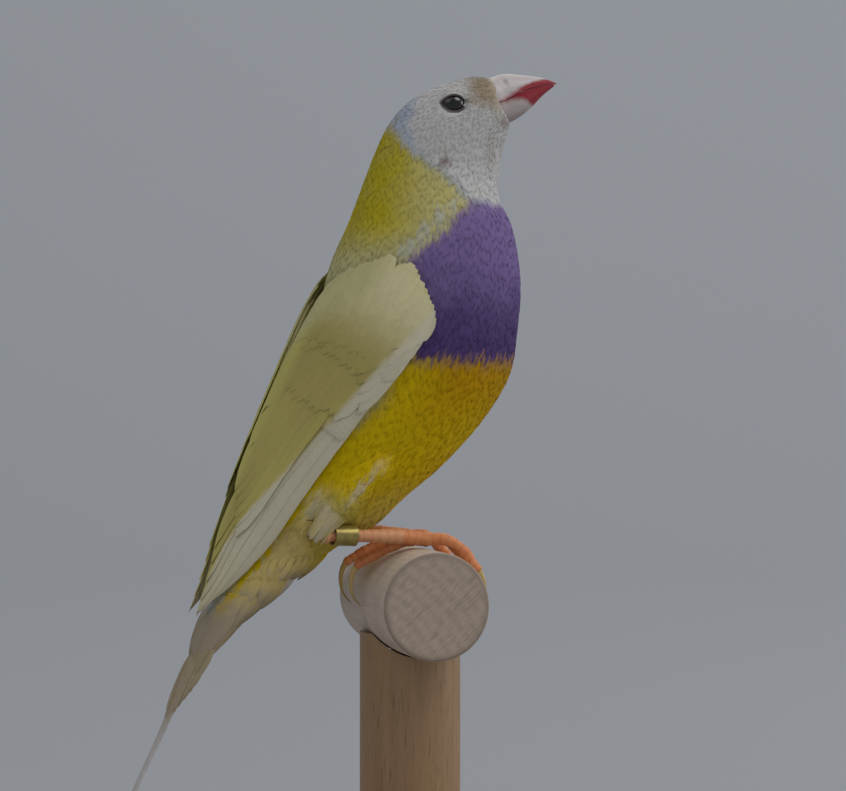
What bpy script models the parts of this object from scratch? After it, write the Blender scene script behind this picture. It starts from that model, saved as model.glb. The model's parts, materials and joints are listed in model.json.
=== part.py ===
"""A life-size Gouldian finch that stands upright on a cut length of wooden dowel.

The bird looks along +X and its right side is towards -Y. The origin is the middle of
the underside of the display base. Sizes in this file are millimetres, and MM turns
them into Blender's metres. Points of the bird are given from the perch's axis.
"""

import math

import bpy
import bmesh
import numpy as np
from mathutils import Vector

MM = 0.001
GAP = 0.3
SLIVER = 0.00002

# Display stand and perch
BASE_RADIUS = 40.0
BASE_THICKNESS = 8.0
BASE_ROUNDING = 2.0
PERCH_RADIUS = 8.65
PERCH_RIGHT_END = -17.2
PERCH_LEFT_END = 14.2
PERCH_CHAMFER = 0.5
PERCH_AXIS_HEIGHT = 51.0
POST_RADIUS = 8.25
POST_TOP_BELOW_AXIS = 5.2

# Stations of the head and body: back x, back z, front x, front z, half width.
# Each is a cross-section between a point on the back and one on the throat or belly.
BODY_STATIONS = [
    (14.3, 86.1, 16.5, 78.4, 3.6),
    (10.3, 86.2, 16.8, 77.4, 5.8),
    (5.2, 84.7, 16.4, 75.7, 7.2),
    (0.0, 82.0, 15.8, 73.7, 7.6),
    (-3.5, 78.3, 15.4, 71.5, 7.7),
    (-5.8, 73.7, 15.1, 69.0, 8.1),
    (-7.7, 68.8, 15.0, 65.8, 9.4),
    (-10.4, 61.5, 17.0, 61.6, 11.8),
    (-13.6, 54.1, 18.1, 56.7, 13.4),
    (-15.6, 45.0, 18.6, 50.9, 14.0),
    (-19.5, 37.1, 18.0, 43.5, 14.0),
    (-21.8, 31.4, 16.8, 36.8, 13.3),
    (-24.0, 25.5, 12.2, 29.4, 12.4),
    (-26.0, 20.6, 5.3, 22.0, 11.2),
    (-27.8, 15.6, -0.7, 17.1, 9.8),
    (-29.4, 11.6, -5.8, 12.4, 8.4),
    (-30.5, 7.7, -12.1, 9.1, 7.2),
    (-32.3, 3.1, -20.9, 2.7, 6.2),
    (-34.1, -0.5, -25.9, -0.6, 5.4),
    (-35.9, -4.2, -29.3, -4.4, 4.7),
]
HEAD_ENDS_AT = 4.6
NECK_ENDS_AT = 6.7
TORSO_ENDS_AT = 14.8
RUMP_ENDS_AT = 19.0
STATION_CUT = 0.1
BODY_SIDES = 28
BODY_FULLNESS = 0.94

# Bill, measured along its own axis from the middle of its base
BILL_BASE = (15.4, 82.25)
BILL_RISE = math.radians(17.1)
BILL_LENGTH = 10.2
CULMEN = [(0.0, 4.0), (1.6, 4.0), (4.9, 2.9), (8.0, 1.6), (10.2, 0.1)]
TOMIUM = [(0.0, -0.3), (1.7, 0.0), (3.7, 0.4), (8.0, 0.3), (10.2, -0.1)]
GONYS = [(0.0, -4.0), (1.1, -3.9), (2.9, -3.4), (5.0, -2.5), (7.15, -1.3), (9.6, -0.3)]
BILL_HALF_WIDTH = [(0.0, 3.5), (3.0, 2.9), (6.0, 1.8), (8.5, 0.85), (10.2, 0.15)]
NOSTRIL = (1.0, 2.6, 2.35)
NOSTRIL_RADIUS = 0.55

# Eyes and lids
EYE_CENTRE = (5.8, 4.75, 80.8)
EYE_RADIUS = 2.3
EYE_OPENING = (1.75, 1.5)
LID_THICKNESS = 0.42
LID_MARGIN = 0.3
LID_OUT = 2.05

# Wing: a curved sheet, measured from the wrist along the folded wing to its tip
WING_WRIST = (-0.2, 45.4)
WING_TIP = (-36.3, -2.0)
WING_LOWER_Y = [(-6, 14.6), (0, 15.3), (7, 15.3), (15, 14.3), (23, 13.0), (33, 10.8),
                (44, 8.2), (53, 5.8), (59.6, 3.9)]
WING_INNER_Y = [(-6, 4.0), (6, 3.4), (15, 1.6), (24, 0.5), (44, 0.5), (59.6, 2.9)]
WING_LOWER_RISE = [(-6, 0.0), (7, -0.7), (23, -0.4), (33, -0.8), (44, -1.4), (59.6, 0.0)]
WING_UPPER_RISE = [(-6, 17.8), (2, 15.9), (10, 14.7), (18, 13.1), (28, 10.7), (38, 8.0),
                   (46, 5.2), (52, 2.8), (57, 1.2), (59.6, 0.4)]
WING_FRONT = [(0.0, 0.0), (0.10, -1.9), (0.22, -3.6), (0.31, -4.6), (0.52, 0.2), (0.81, 4.9),
              (1.0, 8.0)]
WING_PLATE_END = 24.0
WING_THICKNESS = 1.3
WING_OUTWARDS = (-0.8, 1.0, 0.6)
WING_OVER_BODY = 0.35

# Feathers of the wing: tips of the primaries as (distance, share across), outermost first
PRIMARY_TIPS = [(56.5, 0.1), (59.4, 0.35), (59.0, 0.6), (56.8, 0.75), (54.0, 0.82),
                (51.2, 0.84), (48.8, 0.86)]
SECONDARIES = 5
TERTIALS = [((15.0, 0.72), (39.0, 0.82), 2.4), ((14.0, 0.82), (33.0, 0.87), 2.6),
            ((13.0, 0.92), (27.0, 0.93), 2.6)]
GREATER_COVERTS = 7
MEDIAN_COVERTS = 6
PRIMARY_COVERTS = 3
ALULA_FEATHERS = 2
VANE_ROWS = (0.0, 0.35, 0.7, 0.88, 1.0)
COVERT_ROWS = (0.0, 0.5, 0.82, 1.0)
LONG_VANE = 15.0

# Tail, measured from the end of the rump along its own direction
TAIL_ROOT = (-33.2, -5.9)
TAIL_DIRECTION = (-0.348, -0.937)
TAIL_PAIRS = 6
TAIL_PIN_LENGTH = 33.5
TAIL_SIDE_LENGTHS = (13.0, 11.6, 10.4, 9.2, 8.0)
TAIL_QUILL = 1.0
TAIL_VANE_THICKNESS = 0.55
TAIL_BLOCK = [(0.0, 0.5, 2.4, 4.3), (3.5, 0.7, 1.6, 4.0), (7.5, 1.0, 0.7, 3.0)]
PIN_RISE = [(0.0, 1.9), (8.0, 1.95), (13.0, 2.2), (17.0, 2.4), (23.0, 2.9), (27.0, 3.2),
            (34.5, 3.9)]
PIN_ROWS = (0.0, 0.25, 0.5, 0.75, 1.0)

# Legs
FOOT_SIDE = 6.5
ANKLE = (-16.8, 9.3, 11.2)
THIGH = [((13.0, -3.0, 16.5), 2.3), ((9.5, -0.6, 12.0), 3.4), ((3.0, 0.0, 5.0), 3.1),
         ((0.2, 0.0, 1.9), 1.2)]
TARSUS_END = (-3.6, 10.7)
LEG_ROOM = 2.05

# Toes round the perch: share of the length, degrees above the front, height of the middle
FRONT_TOE = [(0.0, 86, 1.35), (0.15, 74, 2.0), (0.3, 62, 2.3), (0.45, 50, 2.1), (0.6, 38, 1.7),
             (0.75, 27, 1.7), (0.9, 13, 1.4), (1.0, 4, 0.45)]
HIND_TOE = [(0.0, 94, 1.35), (0.2, 110, 1.3), (0.4, 126, 1.4), (0.55, 138, 2.0),
            (0.7, 149, 2.8), (0.8, 159, 2.8), (0.92, 174, 1.9), (1.0, 184, 0.5)]
CLAW_STARTS_AT = 0.72


def clear_scene():
    for old in list(bpy.data.objects):
        bpy.data.objects.remove(old, do_unlink=True)


def make_material(name, colour, roughness, metallic=0.0):
    material = bpy.data.materials.new(name)
    material.use_nodes = True
    shader = material.node_tree.nodes["Principled BSDF"]
    shader.inputs["Base Color"].default_value = (*colour, 1.0)
    shader.inputs["Roughness"].default_value = roughness
    shader.inputs["Metallic"].default_value = metallic
    material.diffuse_color = (*colour, 1.0)
    return material


def add_object(name, points, faces, material, height=PERCH_AXIS_HEIGHT):
    """Make a named object from points in millimetres, set at a height above the floor."""
    mesh = bpy.data.meshes.new(name)
    mesh.from_pydata([Vector(p) * MM for p in points], [], faces)
    mesh.materials.append(material)
    mesh.shade_smooth()
    mesh.set_sharp_from_angle(angle=math.radians(35))
    made = bpy.data.objects.new(name, mesh)
    made.location = (0.0, 0.0, height * MM)
    bpy.context.scene.collection.objects.link(made)
    return made


def along(table, x):
    """Read a smooth curve through the (position, value) pairs of a table."""
    xs = [pair[0] for pair in table]
    ys = [pair[1] for pair in table]
    if x <= xs[0]:
        return ys[0]
    if x >= xs[-1]:
        return ys[-1]
    i = max(k for k in range(len(xs) - 1) if xs[k] <= x)
    slopes = []
    for k in (i, i + 1):
        low, high = max(k - 1, 0), min(k + 1, len(xs) - 1)
        slopes.append((ys[high] - ys[low]) / (xs[high] - xs[low]))
    span = xs[i + 1] - xs[i]
    t = (x - xs[i]) / span
    return (ys[i] * (1 + 2 * t) * (1 - t) ** 2 + slopes[0] * span * t * (1 - t) ** 2
            + ys[i + 1] * t * t * (3 - 2 * t) - slopes[1] * span * t * t * (1 - t))


def body_station(s):
    """Back point, front point and half width of the body at station number s."""
    columns = list(zip(*BODY_STATIONS))
    values = [along(list(enumerate(column)), s) for column in columns]
    back = np.array([values[0], 0.0, values[1]])
    front = np.array([values[2], 0.0, values[3]])
    return back, front, values[4]


def body_point(s, angle, inflate=0.0):
    """A point on the body's surface: angle 0 is the back, half a turn is the front."""
    back, front, width = body_station(s)
    middle = (back + front) / 2
    depth = (back - front) / 2
    reach = np.linalg.norm(depth)
    up = math.copysign(abs(math.cos(angle)) ** BODY_FULLNESS, math.cos(angle))
    side = math.copysign(abs(math.sin(angle)) ** BODY_FULLNESS, math.sin(angle))
    return (middle + depth * (1 + inflate / reach) * up
            + np.array([0.0, (width + inflate) * side, 0.0]))


def tube_faces(rows, sides):
    """Faces of a closed tube of rows, each a ring of points, with two end middles last."""
    faces = []
    for r in range(rows - 1):
        for k in range(sides):
            n = (k + 1) % sides
            a, b = r * sides + k, r * sides + n
            c, d = a + sides, b + sides
            faces += [(a, b, d), (a, d, c)]
    first, last = rows * sides, rows * sides + 1
    for k in range(sides):
        n = (k + 1) % sides
        faces.append((first, n, k))
        faces.append((last, (rows - 1) * sides + k, (rows - 1) * sides + n))
    return faces


def closed_tube(rings):
    """Points and faces of a closed tube through rings of points, turned to face out."""
    sides = len(rings[0])
    points = [p for ring in rings for p in ring]
    points.append(np.mean(rings[0], axis=0))
    points.append(np.mean(rings[-1], axis=0))
    return face_outwards(points, tube_faces(len(rings), sides))


def face_outwards(points, faces):
    points = [np.array(p, dtype=float) for p in points]
    volume = sum(np.dot(points[a], np.cross(points[b], points[c])) for a, b, c in faces)
    if volume < 0:
        faces = [(a, c, b) for a, b, c in faces]
    return points, faces


def body_length(start, end, inflate=0.0, rows_per_station=2):
    """The closed length of the body between two stations."""
    rows = max(3, round((end - start) * rows_per_station) + 1)
    turns = [2 * math.pi * k / BODY_SIDES for k in range(BODY_SIDES)]
    rings = [[body_point(s, turn, inflate) for turn in turns]
             for s in np.linspace(start, end, rows)]
    return closed_tube(rings)


def ball(centre, radii, rings=8, sides=12):
    """A closed ball with its poles along Y."""
    loops = []
    for r in range(rings + 1):
        tilt = math.pi * (0.02 + 0.96 * r / rings)
        loops.append([np.array([
            centre[0] + radii[0] * math.sin(tilt) * math.cos(2 * math.pi * k / sides),
            centre[1] - radii[1] * math.cos(tilt),
            centre[2] + radii[2] * math.sin(tilt) * math.sin(2 * math.pi * k / sides)])
            for k in range(sides)])
    return closed_tube(loops)


def rod(path, radii, sides=8):
    """A closed rod of changing radius along a path of points."""
    path = [np.array(p, dtype=float) for p in path]
    rings = []
    for i, point in enumerate(path):
        ahead = path[min(i + 1, len(path) - 1)] - path[max(i - 1, 0)]
        ahead /= np.linalg.norm(ahead)
        across = np.cross(ahead, [0.0, 1.0, 0.0])
        across /= np.linalg.norm(across)
        other = np.cross(ahead, across)
        rings.append([point + radii[i] * (math.cos(2 * math.pi * k / sides) * across
                                          + math.sin(2 * math.pi * k / sides) * other)
                      for k in range(sides)])
    return closed_tube(rings)


def mirrored(shape):
    points, faces = shape
    return face_outwards([p * np.array([1, -1, 1]) for p in points], faces)


def join_shapes(shapes, cutters=(), solver="EXACT"):
    """Fuse closed shapes into one body, cut it, and keep its largest closed surface."""
    group = bpy.data.collections.new("shapes_to_join")
    tools = bpy.data.collections.new("shapes_to_cut")
    for members, collection in ((shapes[1:], group), (cutters, tools)):
        for points, faces in members:
            mesh = bpy.data.meshes.new("piece")
            mesh.from_pydata([Vector(p) for p in points], [], faces)
            collection.objects.link(bpy.data.objects.new("piece", mesh))
    mesh = bpy.data.meshes.new("whole")
    mesh.from_pydata([Vector(p) for p in shapes[0][0]], [], shapes[0][1])
    whole = bpy.data.objects.new("whole", mesh)
    bpy.context.scene.collection.objects.link(whole)
    for collection, operation in ((group, "UNION"), (tools, "DIFFERENCE")):
        if len(collection.objects):
            step = whole.modifiers.new(operation, "BOOLEAN")
            step.operand_type = "COLLECTION"
            step.collection = collection
            step.operation = operation
            step.solver = solver
    bpy.context.view_layer.update()
    result = whole.evaluated_get(bpy.context.evaluated_depsgraph_get()).to_mesh()
    shape = largest_surface(result)
    for used in list(group.objects) + list(tools.objects) + [whole]:
        bpy.data.objects.remove(used, do_unlink=True)
    for collection in (group, tools):
        bpy.data.collections.remove(collection)
    return shape


def largest_surface(mesh):
    """Points and faces of the largest connected surface of a mesh, without its slivers."""
    work = bmesh.new()
    work.from_mesh(mesh)
    bmesh.ops.triangulate(work, faces=work.faces[:])
    unseen = set(work.faces)
    best = []
    while unseen:
        start = unseen.pop()
        island, waiting = [start], [start]
        while waiting:
            for edge in waiting.pop().edges:
                near = [face for face in edge.link_faces if face in unseen]
                if len(edge.link_faces) == 2 and near:
                    unseen.remove(near[0])
                    island.append(near[0])
                    waiting.append(near[0])
        if len(island) > len(best):
            best = island
    kept = set(best)
    bmesh.ops.delete(work, geom=[f for f in work.faces if f not in kept], context="FACES")
    bmesh.ops.remove_doubles(work, verts=work.verts[:], dist=SLIVER)
    bmesh.ops.dissolve_degenerate(work, edges=work.edges[:], dist=SLIVER)
    bmesh.ops.triangulate(work, faces=work.faces[:])
    work.verts.index_update()
    points = [np.array(vert.co) for vert in work.verts]
    faces = [tuple(vert.index for vert in face.verts) for face in work.faces]
    work.free()
    return points, faces


def bill_point(f, g, y):
    """A point of the bill: f along its axis, g above it and y to the side."""
    c, s = math.cos(BILL_RISE), math.sin(BILL_RISE)
    return np.array([BILL_BASE[0] + f * c - g * s, y, BILL_BASE[1] + f * s + g * c])


def mandible(start, length, upper, rows=9, sides=7):
    """One half of the bill: a domed shell above or below the cutting edge."""
    rings = []
    for i in range(rows):
        f = start + (length - start) * (i / (rows - 1)) ** 0.9
        edge = along(TOMIUM, f) + (GAP / 2 if upper else -GAP / 2)
        far = along(CULMEN, f) if upper else along(GONYS, f)
        width = along(BILL_HALF_WIDTH, f) * (1.0 if upper else 0.93)
        if abs(far - edge) < 0.12:
            far = edge + (0.12 if upper else -0.12)
        ring = []
        for k in range(sides):
            turn = math.pi * k / (sides - 1)
            ring.append(bill_point(f, edge + (far - edge) * math.sin(turn) ** 0.85,
                                   width * math.cos(turn)))
        rings.append(ring)
    return closed_tube(rings)


def make_bill(horn, horn_red):
    upper = mandible(GAP, BILL_LENGTH, True)
    f, g, y = NOSTRIL
    pits = [ball(bill_point(f, g, side * y), (0.75, NOSTRIL_RADIUS, NOSTRIL_RADIUS), 6, 8)
            for side in (-1, 1)]
    add_object("bill_upper", *join_shapes([upper], pits), horn)
    add_object("bill_lower", *mandible(GAP, BILL_LENGTH - 0.6, False), horn_red)


def lid_ring(side):
    """The raised rim of the lids round one eye, set on the skin."""
    x, y, z = EYE_CENTRE
    steps, tube = 16, 6
    rings = []
    for i in range(steps):
        turn = 2 * math.pi * i / steps
        middle = np.array([x + (EYE_OPENING[0] + LID_MARGIN) * math.cos(turn),
                           side * (y + LID_OUT),
                           z + (EYE_OPENING[1] + LID_MARGIN) * math.sin(turn)])
        out = np.array([math.cos(turn), 0.0, math.sin(turn)])
        rings.append([middle + LID_THICKNESS * (math.cos(2 * math.pi * k / tube) * out
                      + math.sin(2 * math.pi * k / tube) * np.array([0.0, 1.0, 0.0]))
                      for k in range(tube)])
    points = [p for ring in rings for p in ring]
    faces = []
    for i in range(steps):
        for k in range(tube):
            a, b = i * tube + k, i * tube + (k + 1) % tube
            c = (i + 1) % steps * tube + k
            d = (i + 1) % steps * tube + (k + 1) % tube
            faces += [(a, b, d), (a, d, c)]
    return face_outwards(points, faces)


def make_head(feather_white):
    sockets = [ball((EYE_CENTRE[0], side * EYE_CENTRE[1], EYE_CENTRE[2]),
                    [EYE_RADIUS + GAP] * 3, 10, 16) for side in (-1, 1)]
    head = join_shapes([body_length(0.0, HEAD_ENDS_AT), lid_ring(-1), lid_ring(1)], sockets)
    add_object("head", *head, feather_white)


def make_eyes(eye_dark):
    for name, side in (("eye_right", -1), ("eye_left", 1)):
        centre = (EYE_CENTRE[0], side * EYE_CENTRE[1], EYE_CENTRE[2])
        add_object(name, *ball(centre, [EYE_RADIUS] * 3, 10, 16), eye_dark)


def wing_rows(p):
    """Lower and upper edge of the wing sheet at distance p from the wrist."""
    wrist, tip = np.array(WING_WRIST), np.array(WING_TIP)
    axis = (tip - wrist) / np.linalg.norm(tip - wrist)
    rise = np.array([axis[1], -axis[0]])
    lower = wrist + axis * p + rise * along(WING_LOWER_RISE, p)
    upper = wrist + axis * p + rise * along(WING_UPPER_RISE, p)
    return (np.array([lower[0], along(WING_LOWER_Y, p), lower[1]]),
            np.array([upper[0], along(WING_INNER_Y, p), upper[1]]))


def wing_sheet(p, q, lift=0.0):
    """A point of the left wing's outer sheet: q runs from its lower edge to the back."""
    def flat(p, q):
        low, high = wing_rows(p)
        turn = math.radians(-6 + 96 * q)
        first = math.radians(-6)
        along_back = (high - low) * np.array([1, 0, 1])
        to_middle = (high - low) * np.array([0, 1, 0])
        up = (math.sin(turn) - math.sin(first)) / (1 - math.sin(first))
        inward = (math.cos(first) - math.cos(turn)) / math.cos(first)
        return low + along_back * up + to_middle * inward
    here = flat(p, q)
    step_p = flat(p + 0.5, q) - flat(p - 0.5, q)
    step_q = flat(p, q + 0.02) - flat(p, q - 0.02)
    normal = np.cross(step_p, step_q)
    normal /= np.linalg.norm(normal)
    if np.dot(normal, WING_OUTWARDS) < 0:
        normal = -normal
    return here + normal * lift


def wing_plate(rows=9, columns=8):
    """The arm of the wing under its coverts, a curved plate."""
    outer, inner = [], []
    for i in range(rows):
        for j in range(columns):
            q = j / (columns - 1)
            start = along(WING_FRONT, q)
            p = start + (WING_PLATE_END - start) * i / (rows - 1)
            edge = min(i, rows - 1 - i, j, columns - 1 - j)
            thickness = WING_THICKNESS if edge else 0.7
            outer.append(wing_sheet(p, q, 0.0 if edge else -0.3))
            inner.append(wing_sheet(p, q, -0.3 - thickness))
    return plate_between(outer, inner, rows, columns)


def plate_between(outer, inner, rows, columns):
    """A closed plate between two grids of points, split alike on both faces."""
    count = rows * columns
    faces = []
    for i in range(rows - 1):
        for j in range(columns - 1):
            a, b = i * columns + j, i * columns + j + 1
            c, d = a + columns, b + columns
            faces += [(a, b, d), (a, d, c)]
            faces += [(a + count, d + count, b + count), (a + count, c + count, d + count)]
    rim = ([(0, j) for j in range(columns - 1)]
           + [(i, columns - 1) for i in range(rows - 1)]
           + [(rows - 1, j) for j in range(columns - 1, 0, -1)]
           + [(i, 0) for i in range(rows - 1, 0, -1)])
    loop = [i * columns + j for i, j in rim]
    for k, a in enumerate(loop):
        b = loop[(k + 1) % len(loop)]
        faces += [(a, a + count, b + count), (a, b + count, b)]
    return face_outwards(outer + inner, faces)


def wing_span(p):
    """Length across the wing sheet at distance p from the wrist."""
    cuts = [wing_sheet(p, q) for q in (0.0, 0.25, 0.5, 0.75, 1.0)]
    return sum(np.linalg.norm(b - a) for a, b in zip(cuts, cuts[1:]))


def vane_width(t):
    """Share of its full width that a vane has at t along it, from quill to rounded tip."""
    growing = min(1.0, 0.6 + 1.4 * t)
    return growing * (1.0 if t < 0.7 else math.sqrt(max(0.0, 1 - ((t - 0.7) / 0.335) ** 2)))


def vane(corner, rows):
    """A closed thin vane: corner(t, side, face) gives its points, side -1, 0 or 1."""
    top, bottom = [], []
    for t in rows:
        for side in (-1, 0, 1):
            top.append(corner(t, side, 1))
            bottom.append(corner(t, side, -1))
    return plate_between(top, bottom, len(rows), 3)


def wing_vane(root, tip, half_width, lift_root, lift_tip, tilt=0.5, thickness=0.6):
    """A feather on the wing sheet between two (p, q) places, sunk at its root."""
    rows = VANE_ROWS if tip[0] - root[0] > LONG_VANE else COVERT_ROWS
    inner_edge = 0.99 - 0.011 * (root[0] % 1.7) - 0.003 * half_width

    def corner(t, side, face):
        p = root[0] + (tip[0] - root[0]) * t
        q = root[1] + (tip[1] - root[1]) * t
        reach = half_width * vane_width(t) / max(wing_span(p), 2.0)
        q = min(q, inner_edge - reach) + side * reach
        lift = lift_root + (lift_tip - lift_root) * t - side * tilt / 2
        lift += (0.0 if side else 0.12) - (0.0 if face > 0 else thickness)
        return wing_sheet(p, q, lift)
    return vane(corner, rows)


def wing_feathers():
    """Every tier of the left wing, from the tips of the hand to the coverts."""
    feathers = []
    for i, tip in enumerate(PRIMARY_TIPS):
        feathers.append(wing_vane((9.0 + 1.2 * i, 0.05 + 0.035 * i), tip, 1.9,
                                  -1.0, -0.55 + 0.06 * i))
    for i in range(SECONDARIES):
        feathers.append(wing_vane((17.0, 0.28 + 0.085 * i), (43.5 - 1.1 * i, 0.5 + 0.07 * i),
                                  1.9, -0.8, 0.03 * i))
    for root, tip, width in TERTIALS:
        feathers.append(wing_vane(root, tip, width, -0.8, 0.25))
    for i in range(GREATER_COVERTS):
        q = 0.17 + 0.7 * i / (GREATER_COVERTS - 1)
        feathers.append(wing_vane((11.0, q), (21.5 + 1.5 * math.sin(3.0 * q), q + 0.03), 2.0,
                                  -0.8, 0.35))
    for i in range(PRIMARY_COVERTS):
        feathers.append(wing_vane((5.0, 0.04 + 0.05 * i), (18.0 - 1.5 * i, 0.05 + 0.06 * i), 1.2,
                                  -0.8, 0.25 + 0.1 * i))
    for i in range(MEDIAN_COVERTS):
        q = 0.16 + 0.7 * i / (MEDIAN_COVERTS - 1)
        root = max(4.5, along(WING_FRONT, q) + 0.5)
        feathers.append(wing_vane((root, q), (13.6 + 1.0 * math.sin(3.0 * q), q + 0.02), 2.1,
                                  -0.8, 0.5))
    for i in range(ALULA_FEATHERS):
        feathers.append(wing_vane((0.5, 0.04 + 0.05 * i), (12.0 - 3.0 * i, 0.05 + 0.05 * i), 1.1,
                                  -0.7, 0.3 + 0.1 * i))
    return feathers


def midline_slab():
    """A slab along the middle of the back that the two wings stay out of."""
    low, high = np.array([-45.0, -6.0, -12.0]), np.array([25.0, 0.2, 75.0])
    corners = [np.array([(low, high)[i][0], (low, high)[j][1], (low, high)[k][2]])
               for i in (0, 1) for j in (0, 1) for k in (0, 1)]
    faces = [(0, 1, 3), (0, 3, 2), (4, 6, 7), (4, 7, 5), (0, 4, 5), (0, 5, 1),
             (2, 3, 7), (2, 7, 6), (0, 2, 6), (0, 6, 4), (1, 5, 7), (1, 7, 3)]
    return face_outwards(corners, faces)


def make_wings(feather_wing, body_cutters):
    left = join_shapes([wing_plate()] + wing_feathers(), body_cutters + [midline_slab()],
                       "MANIFOLD")
    add_object("wing_left", *left, feather_wing)
    add_object("wing_right", *mirrored(left), feather_wing)


def tail_point(d, rise, y):
    """A point of the tail: d along it, rise towards its back, y to the side."""
    ahead = TAIL_DIRECTION
    return np.array([TAIL_ROOT[0] + ahead[0] * d + ahead[1] * rise, y,
                     TAIL_ROOT[1] + ahead[1] * d - ahead[0] * rise])


def tail_vane(pair, side):
    """One of the twelve tail feathers; pair 0 is the middle one with the long pin."""
    share = pair / (TAIL_PAIRS - 1)
    length = TAIL_PIN_LENGTH if pair == 0 else TAIL_SIDE_LENGTHS[pair - 1]
    lean = math.radians(8 + 40 * share)
    y_root, rise_root = 0.9 + 2.6 * share, 1.9 - 1.8 * share
    y_tip, rise_tip = 0.45 + 1.5 * share, 2.5 - 1.1 * share
    width = 1.9 - 0.5 * share

    def corner(t, edge, face):
        w = width * vane_width(t)
        if pair == 0:
            w = 0.22 + 1.5 * (1 - t) ** 1.3
        across = side * edge * w * math.cos(lean)
        y = side * (y_root + (y_tip - y_root) * t) + across
        d = length * t + TAIL_QUILL
        rise = rise_root + (rise_tip - rise_root) * t + 0.3 * math.sin(math.pi * t)
        if pair == 0:
            y = side * max(side * y, 0.02)
            rise = along(PIN_RISE, d)
        rise += 0.12 * (edge == 0) - edge * w * math.sin(lean) + face * TAIL_VANE_THICKNESS / 2
        return tail_point(d, rise, y)
    return vane(corner, PIN_ROWS if pair == 0 else VANE_ROWS)


def make_tail(feather_tail):
    turns = [2 * math.pi * k / 14 for k in range(14)]
    step = np.array([TAIL_DIRECTION[0], 0.0, TAIL_DIRECTION[1]]) * (GAP + 0.05)
    rings = [[body_point(RUMP_ENDS_AT, turn) + step for turn in turns]]
    for d, rise, depth, width in TAIL_BLOCK:
        rings.append([tail_point(d, rise + depth * math.cos(turn), width * math.sin(turn))
                      for turn in turns])
    shapes = [closed_tube(rings)]
    for pair in range(TAIL_PAIRS):
        shapes += [tail_vane(pair, -1), tail_vane(pair, 1)]
    add_object("tail", *join_shapes(shapes), feather_tail)


def leg_ends(side):
    """The middle of the ankle and the lower end of the tarsus on one side."""
    return (np.array([ANKLE[0], side * ANKLE[1], ANKLE[2]]),
            np.array([TARSUS_END[0], side * FOOT_SIDE, TARSUS_END[1]]))


def leg_room(side):
    """The space kept free in the body's feathers round one ankle and its ring."""
    ankle, foot = leg_ends(side)
    return rod([ankle + (ankle - foot) * 0.12, ankle, foot], [1.6, LEG_ROOM, LEG_ROOM], 12)


def make_legs(skin_pink, ring_gold, body_cutters):
    for name, side in (("right", -1), ("left", 1)):
        ankle, foot = leg_ends(side)
        path = [ankle + (foot - ankle) * t for t in (0.0, 0.06, 0.12, 0.3, 0.6, 0.85, 1.0)]
        radii = [0.95, 1.25, 0.95, 0.95, 1.05, 1.15, 1.2]
        add_object("leg_" + name, *rod(path, radii, 10), skin_pink)
        thigh = rod([ankle + np.array(step) * (1, side, 1) for step, _ in THIGH],
                    [radius for _, radius in THIGH], 12)
        cut = join_shapes([thigh], body_cutters)
        add_object("thigh_" + name, *cut, skin_pink)
    ankle, foot = leg_ends(-1)
    ahead = (foot - ankle) / np.linalg.norm(foot - ankle)
    start = ankle + ahead * 1.8
    ring = join_shapes([rod([start, start + ahead * 4.0], [1.7, 1.7], 14)],
                       [rod([start - ahead, start + ahead * 5.0], [1.3, 1.3], 14)])
    add_object("leg_ring", *ring, ring_gold)


def on_perch(angle, stand_off, y):
    """A point round the perch at an angle in degrees above the front, looking from -Y."""
    reach = PERCH_RADIUS + stand_off
    turn = math.radians(angle)
    return np.array([reach * math.cos(turn), y, reach * math.sin(turn)])


def toe(course, shortening, y_start, y_end, radius, steps=11):
    """One toe and its claw, laid round the perch from the pad of the foot."""
    angles = [(share, angle) for share, angle, _ in course]
    heights = [(share, height) for share, _, height in course]
    path, radii = [], []
    for i in range(steps):
        share = i / (steps - 1)
        angle = angles[0][1] + (along(angles, share) - angles[0][1]) * shortening
        path.append(on_perch(angle, along(heights, share), y_start + (y_end - y_start) * share))
        t = share / CLAW_STARTS_AT
        bulge = radius * (1.0 - 0.22 * t) * (1.0 + 0.08 * math.cos(6 * math.pi * t))
        past = (share - CLAW_STARTS_AT) / (1 - CLAW_STARTS_AT)
        radii.append(bulge if past < 0 else radius * (0.62 - 0.5 * past))
    return rod(path, radii, 8)


def make_feet(skin_pink):
    for name, side in (("right", -1), ("left", 1)):
        y = side * FOOT_SIDE
        neck = rod([(-3.3, y, 10.7), (-1.0, y, 10.5), (1.0, y, 10.2)], [1.05, 1.15, 1.1], 10)
        pad = ball((1.0, y, 10.15), (1.8, 1.4, 1.15), 6, 10)
        shapes = [neck, pad,
                  toe(FRONT_TOE, 0.95, y, y + side * 0.2, 1.0),
                  toe(FRONT_TOE, 1.0, y + side * 0.5, y + side * 4.4, 0.9),
                  toe(FRONT_TOE, 0.8, y - side * 0.5, y - side * 3.2, 0.85),
                  toe(HIND_TOE, 1.0, y - side * 1.4, y - side * 3.0, 0.92)]
        add_object("foot_" + name, *join_shapes(shapes), skin_pink)


def turned(profile, axis, steps=32):
    """A closed solid turned round the Z or Y axis from (radius, height) pairs."""
    rings = []
    for radius, height in profile:
        ring = []
        for k in range(steps):
            a = radius * math.cos(2 * math.pi * k / steps)
            b = radius * math.sin(2 * math.pi * k / steps)
            ring.append(np.array([a, b, height] if axis == "Z" else [a, height, b]))
        rings.append(ring)
    return closed_tube(rings)


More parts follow.
